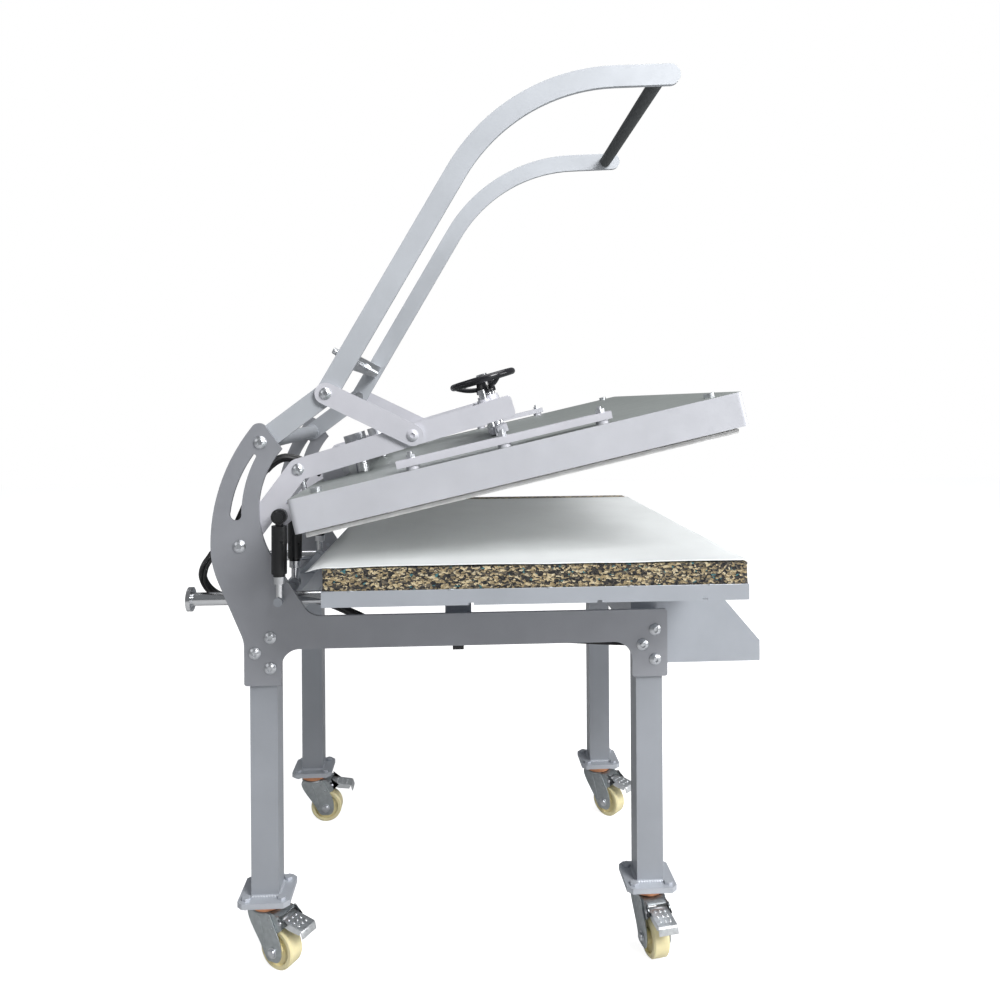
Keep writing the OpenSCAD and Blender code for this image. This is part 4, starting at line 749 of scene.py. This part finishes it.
# Pressure gear: a black moulded handwheel on a ground screw with a 6 mm pitch thread,
# two guide rods and the enamelled pressure foot that pushes on the platen.
def screw_thread():
    pitch, crest = 0.006, 0.0118
    parts = []
    for low, high in ((-0.040, -0.024), (0.024, 0.0355)):
        turns = (high - low) / pitch
        steps = round(turns * 28)
        line = []
        for i in range(steps + 1):
            t = 2 * math.pi * turns * i / steps
            s, n = front_beam + crest * math.sin(t), low + (high - low) * i / steps
            line.append(beam_point(crest * math.cos(t), s, n))
        parts.append(tube_mesh("thread", line, 0.0010, 6))
    return join("screw_thread", parts)


def wheel_casting():
    rim_radius, rim_height, count, steps = 0.0675, 0.067, 96, 12
    turns = [2 * math.pi * k / count for k in range(count)]
    circle = [(rim_radius * math.cos(t), front_beam + rim_radius * math.sin(t)) for t in turns]
    parts = [tube_mesh("rim", [beam_point(x, s, rim_height) for x, s in circle], 0.0074, 18, closed=True)]
    hub = [(0.0124, 0.0362), (0.0208, 0.0362), (0.0218, 0.0372), (0.0219, 0.0440), (0.0205, 0.0490),
           (0.0180, 0.0540), (0.0172, 0.0620), (0.0168, 0.0660), (0.0155, 0.0672), (0.0124, 0.0674)]
    up = (0, math.sin(arm_lean), math.cos(arm_lean))
    parts.append(lathe(hub, 56, ring=True, at=beam_point(0, front_beam, 0), facing=up))
    for angle in (30, 150, 270):
        c, d = math.cos(math.radians(angle)), math.sin(math.radians(angle))
        line = []
        for k in range(steps + 1):
            t = k / steps
            reach, height = 0.0165 + 0.0485 * t, 0.0475 + 0.0175 * t - 0.0035 * math.sin(math.pi * t)
            line.append(beam_point(reach * c, front_beam + reach * d, height))
        parts.append(tube_mesh("spoke", line, 0.0052, 14))
    return join("wheel_casting", parts)


black_plastic = plastic("black_plastic", (0.014, 0.014, 0.017), 0.2)
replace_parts(paint(wheel_casting(), black_plastic, "handwheel"), "handwheel")
dress(chrome, "pressure_screw", "guide_rods")
dress(arm_silver, "pressure_foot")
paint(screw_thread(), chrome, "handwheel")


# Platen: a folded enamelled steel cover whose upward faces take a darker grey-green, painted shade standing
# for the dim ceiling mirrored in the top, over a milled aluminium plate, held by clamp bars on studs; two
# posts guide it and the terminal box takes the leads.
tilt = math.radians(12.9)


def shade_upward_faces(name, side, top, axis):
    material = enamel(name, side, metal=0.25)
    tree = material.node_tree
    faces = tree.nodes.new("ShaderNodeTexCoord")
    along = tree.nodes.new("ShaderNodeVectorMath")
    along.operation = "DOT_PRODUCT"
    along.inputs[1].default_value = axis
    tree.links.new(faces.outputs["Normal"], along.inputs[0])
    # Faces whose normal points along the given axis (upward) take the darker top colour: painted shade.
    coat = second_coat(material, math_node(tree, "GREATER_THAN", along.outputs["Value"], 0.9))
    low = tuple(c * 0.9 for c in top)
    tree.links.new(ramp(tree, noise(tree, 14, 5), [(0.3, low), (0.7, top)]), coat)
    return material


def across_platen(name):
    spots = [v.co for v in nodes[name].data.vertices]
    along = [p.y * math.cos(tilt) - p.z * math.sin(tilt) for p in spots]
    up = [p.y * math.sin(tilt) + p.z * math.cos(tilt) for p in spots]
    return max(p.x for p in spots), min(along), max(along), min(up), max(up)


def heat_slab():
    half, v_low, v_high, n_low, n_high = across_platen("heat_plate")
    rim = across_platen("platen_cover")[3]
    rng = random.Random(3)
    bm = bmesh.new()
    rows = []
    steps, worn_level, wear = 60, 2, 0.0005
    edge, inside, seam = 0.0008, 0.0006, 0.0052
    seam_low, seam_high = rim - 0.0028, rim + 0.0010
    levels = ((edge, n_low), (0, n_low + edge), (0, seam_low - inside), (inside, seam_low), (seam, seam_low),
              (seam, seam_high), (inside, seam_high), (inside, n_high))
    corners = [(half, v_low), (half, v_high), (-half, v_high), (-half, v_low)]
    c, d = math.cos(tilt), math.sin(tilt)
    for level, (inset, n) in enumerate(levels):
        row = []
        for (x0, v0), (x1, v1) in zip(corners, corners[1:] + corners[:1]):
            for k in range(steps):
                nick = rng.uniform(0, wear) if level == worn_level and k else 0
                x = max(-half + inset, min(half - inset, x0 + (x1 - x0) * k / steps))
                v = max(v_low + inset, min(v_high - inset, v0 + (v1 - v0) * k / steps))
                row.append(bm.verts.new((x, v * c + (n - nick) * d, (n - nick) * c - v * d)))
        rows.append(row)
    count = len(rows[0])
    for a, b in zip(rows, rows[1:]):
        for k in range(count):
            bm.faces.new((a[k], a[(k + 1) % count], b[(k + 1) % count], b[k]))
    bm.faces.new(rows[0][::-1])
    bm.faces.new(rows[-1])
    bmesh.ops.recalc_face_normals(bm, faces=bm.faces)
    return piece_from("heat_slab", bm, smooth=False)


top_way = (0, math.sin(tilt), math.cos(tilt))
# The cover's upward faces get a darker grey-green, painted shade; its sides keep the enamel.
cover_paint = shade_upward_faces("cover_enamel", (0.55, 0.56, 0.60), (0.30, 0.325, 0.315), top_way)
dress(cover_paint, "platen_cover")
dress(arm_silver, "platen_bars", "terminal_box")
slab_metal = plated("milled_plate", (0.93, 0.93, 0.92), 0.5, mottle=0.14, grain=0.00008, scale=34, metal=0.35)
hot_slab = paint(heat_slab(), slab_metal, "platen")
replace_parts(hot_slab, "heat_plate")
dress(plastic("fibre_board", (0.6, 0.55, 0.42), 0.9, grain=0.0002), "insulation_board")
dress(zinc, "platen_studs")
dress(chrome, "platen_posts")


# Handle: two bent flat bars, enamelled, on a welded pivot tube, with a zinc-plated tie channel between them
# and a small hex screw with its washer on each bar's rear edge beside it. Link bars go down to the arms,
# and a foam-rubber sleeve covers the cross grip.
def pivot_welds():
    low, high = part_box("handle_pivot_tube")
    centre, radius, inset, count = (low + high) / 2, (high.z - low.z) / 2, 0.0012, 90
    turns = [2 * math.pi * k / count for k in range(count)]
    beads = []
    for x in (low.x + inset, high.x - inset):
        loop = [(x, centre.y + radius * math.cos(t), centre.z + radius * math.sin(t)) for t in turns]
        beads.append(bead(loop, 0.0024))
    return join("pivot_welds", beads)


def tie_screws():
    knee, lean = Vector((0, 0.282635, 1.06248)), math.radians(59.6)
    past_knee, half_bar, arm_middle = 0.076, 0.0201, 0.2845
    along, out = Vector((0, -math.cos(lean), math.sin(lean))), Vector((0, math.sin(lean), math.cos(lean)))
    seat = knee + along * past_knee + out * half_bar
    washer_in, washer_out, washer_t = 0.0030, 0.0066, 0.0014
    washer = [(washer_in, 0), (washer_out, 0), (washer_out, washer_t), (washer_in, washer_t)]
    head = [(0.0052, washer_t), (0.0059, 0.0020), (0.0059, 0.0085), (0.0050, 0.0097), (0.0012, 0.0097)]
    parts = []
    for x in (-arm_middle, arm_middle):
        place = seat + Vector((x, 0, 0))
        parts.append(lathe(washer, 30, at=place, facing=out))
        parts.append(lathe(head, 6, smooth=False, at=place, facing=out))
    return join("tie_screws", parts)


dress(arm_silver, "links")
handle_silver = enamel("handle_enamel", (0.435, 0.457, 0.490), 0.55, metal=0.15)
dress(handle_silver, "handle_arms", "handle_pivot_tube")
dress(zinc, "handle_tie")
dress(plastic("grip_foam", (0.075, 0.08, 0.083), 0.75, grain=0.0003, scale=900), "handle_grip")
paint(pivot_welds(), silver, "handle")
paint(tie_screws(), zinc, "handle")


# Gas struts: black enamelled tubes with a bright collar pressed in at the open end, on ground steel rods.
# Each one stands on a pin in a bracket of the stand and holds up the cross shaft of the arms.
collar_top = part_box("gas_strut_tubes")[0].z + 0.013
strut_enamel = enamel("strut_tube_enamel", (0.016, 0.017, 0.019), 0.3, metal=0.0)
dress(by_height(strut_enamel, collar_top, (0.72, 0.73, 0.75), bare=True), "gas_strut_tubes")
dress(chrome, "gas_strut_rods")


# Controls: a folded enamelled box under the front rail with a grey plastic panel on its slope,
# a smoked display window with unlit red segments, two keys and a red power rocker.
slope_lean, slope_middle = math.radians(49.5), (-0.520, 0.612)
display_x, window_wide, window_tall = -0.07, 0.0795, 0.0375
window_low, window_top, digit_top = 0.0087, 0.0093, 0.0096


def on_slope(x, y, n):
    c, d = math.cos(slope_lean), math.sin(slope_lean)
    return (x, slope_middle[0] + y * c - n * d, slope_middle[1] + y * d + n * c)


def slope_block(x, y, wide, tall, low, high):
    bm = bmesh.new()
    corners = [(x + a * wide / 2, y + b * tall / 2) for a, b in ((-1, -1), (1, -1), (1, 1), (-1, 1))]
    rows = [[bm.verts.new(on_slope(*corner, n)) for corner in corners] for n in (low, high)]
    bm.faces.new(rows[0][::-1])
    bm.faces.new(rows[1])
    for k in range(4):
        bm.faces.new((rows[0][k], rows[0][(k + 1) % 4], rows[1][(k + 1) % 4], rows[1][k]))
    bmesh.ops.recalc_face_normals(bm, faces=bm.faces)
    bmesh.ops.bevel(bm, geom=list(bm.edges), offset=0.00012, segments=1, affect="EDGES")
    return piece_from("block", bm, smooth=False)


def display_digits():
    lit = {"1": "bc", "8": "abcdefg", "0": "abcdef"}
    wide, tall, bar, spacing = 0.0125, 0.0230, 0.0022, 0.0225
    spots = {"a": (0, tall / 2, 0), "d": (0, -tall / 2, 0), "g": (0, 0, 0),
             "b": (wide / 2, tall / 4, 1), "c": (wide / 2, -tall / 4, 1),
             "e": (-wide / 2, -tall / 4, 1), "f": (-wide / 2, tall / 4, 1)}
    parts = []
    for place, digit in enumerate("180"):
        middle = display_x + (place - 1) * spacing
        for name in lit[digit]:
            x, y, upright = spots[name]
            size = (bar, tall / 2 - bar) if upright else (wide - bar, bar)
            parts.append(slope_block(middle + x, y, *size, window_top, digit_top))
    return join("display_digits", parts)


panel_grey = plastic("panel_grey", (0.42, 0.44, 0.46), 0.45)
red_plastic = plastic("red_plastic", (0.5, 0.02, 0.02), 0.3)
dress(silver, "control_box")
dress(panel_grey, "control_panel", "up_key", "down_key")
dress(red_plastic, "power_rocker")
dress(black_plastic, "cable_glands")
window = slope_block(display_x, 0, window_wide, window_tall, window_low, window_top)
paint(join("display_window", [window]), black_plastic, "frame")
paint(display_digits(), red_plastic, "frame")


# Cables: three sleeved leads run as one loose bundle from the control box under the table, up behind the arch
# to the arm pivot and over it to the terminal box of the platen.
bundle_radius, lead_radius, lay = 0.0045, 0.0041, 7.0
bend_length, ram_share = 0.08, 0.55


def smooth_path(points):
    mm, shift, step = 0.001, Vector((0, 0.04, 0)), 0.006
    points = [Vector(p) * mm + shift for p in points]
    points = [points[0] * 2 - points[1]] + points + [points[-1] * 2 - points[-2]]
    out = []
    for a, b, c, d in zip(points, points[1:], points[2:], points[3:]):
        n = max(2, round((c - b).length / step))
        for i in range(n):
            t = i / n
            out.append(0.5 * (2 * b + (c - a) * t + (2 * a - 5 * b + 4 * c - d) * t * t
                              + (3 * b - a - 3 * c + d) * t ** 3))
    return out + [points[-2]]


def strands(name, path):
    count = 3
    parts = []
    for k in range(count):
        line, side, along = [], None, 0.0
        for i, p in enumerate(path):
            a, b = path[max(i - 1, 0)], path[min(i + 1, len(path) - 1)]
            ahead = (b - a).normalized()
            side = ahead.orthogonal() if side is None else side - ahead * side.dot(ahead)
            side.normalize()
            along += (p - path[i - 1]).length if i else 0
            turn = 2 * math.pi * k / count + lay * along
            across, up = bundle_radius * math.cos(turn), bundle_radius * math.sin(turn)
            line.append(p + side * across + ahead.cross(side) * up)
        parts.append(tube_mesh("strand", line, lead_radius, 12, ripple=0.06, pitch=0.0022))
    return join(name, parts)


def split(path, share):
    at = round((len(path) - 1) * share)
    return path[:at + 1], path[at:]


sleeve = plastic("braided_sleeve", (0.014, 0.014, 0.016), 0.42, grain=0.0002, scale=1600)
frame_route = [(-190, -388, 562), (-190, -340, 562), (-190, -180, 570), (-190, 0, 572), (-190, 110, 580),
               (-190, 200, 626), (-189, 270, 656), (-188, 340, 662), (-188, 400, 663), (-188, 455, 665),
               (-190, 483, 680), (-202, 493, 706), (-224, 485, 733), (-246, 467, 757), (-258, 449, 773),
               (-261, 436, 784)]
platen_route = [(-261, 436, 784), (-258, 420, 806), (-252, 402, 845), (-244, 384, 888), (-238, 362, 922),
                (-232, 335, 940), (-226, 306, 936), (-218, 282, 922), (-212, 265.7, 907.1)]
to_pivot = smooth_path(frame_route)
over_arm, to_box = split(smooth_path(platen_route), ram_share)
lower = strands("frame_leads", to_pivot)
lower.data.materials.append(sleeve)
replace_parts(lower, "frame_cable")
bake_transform(lower)
middle = strands("arm_leads", over_arm)
upper = strands("platen_leads", to_box)
for piece, pair, ends in ((middle, ("arms", "ram"), over_arm), (upper, ("ram", "platen"), to_box)):
    piece.data.materials.append(sleeve)
    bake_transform(piece)
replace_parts(upper, "platen_cable")
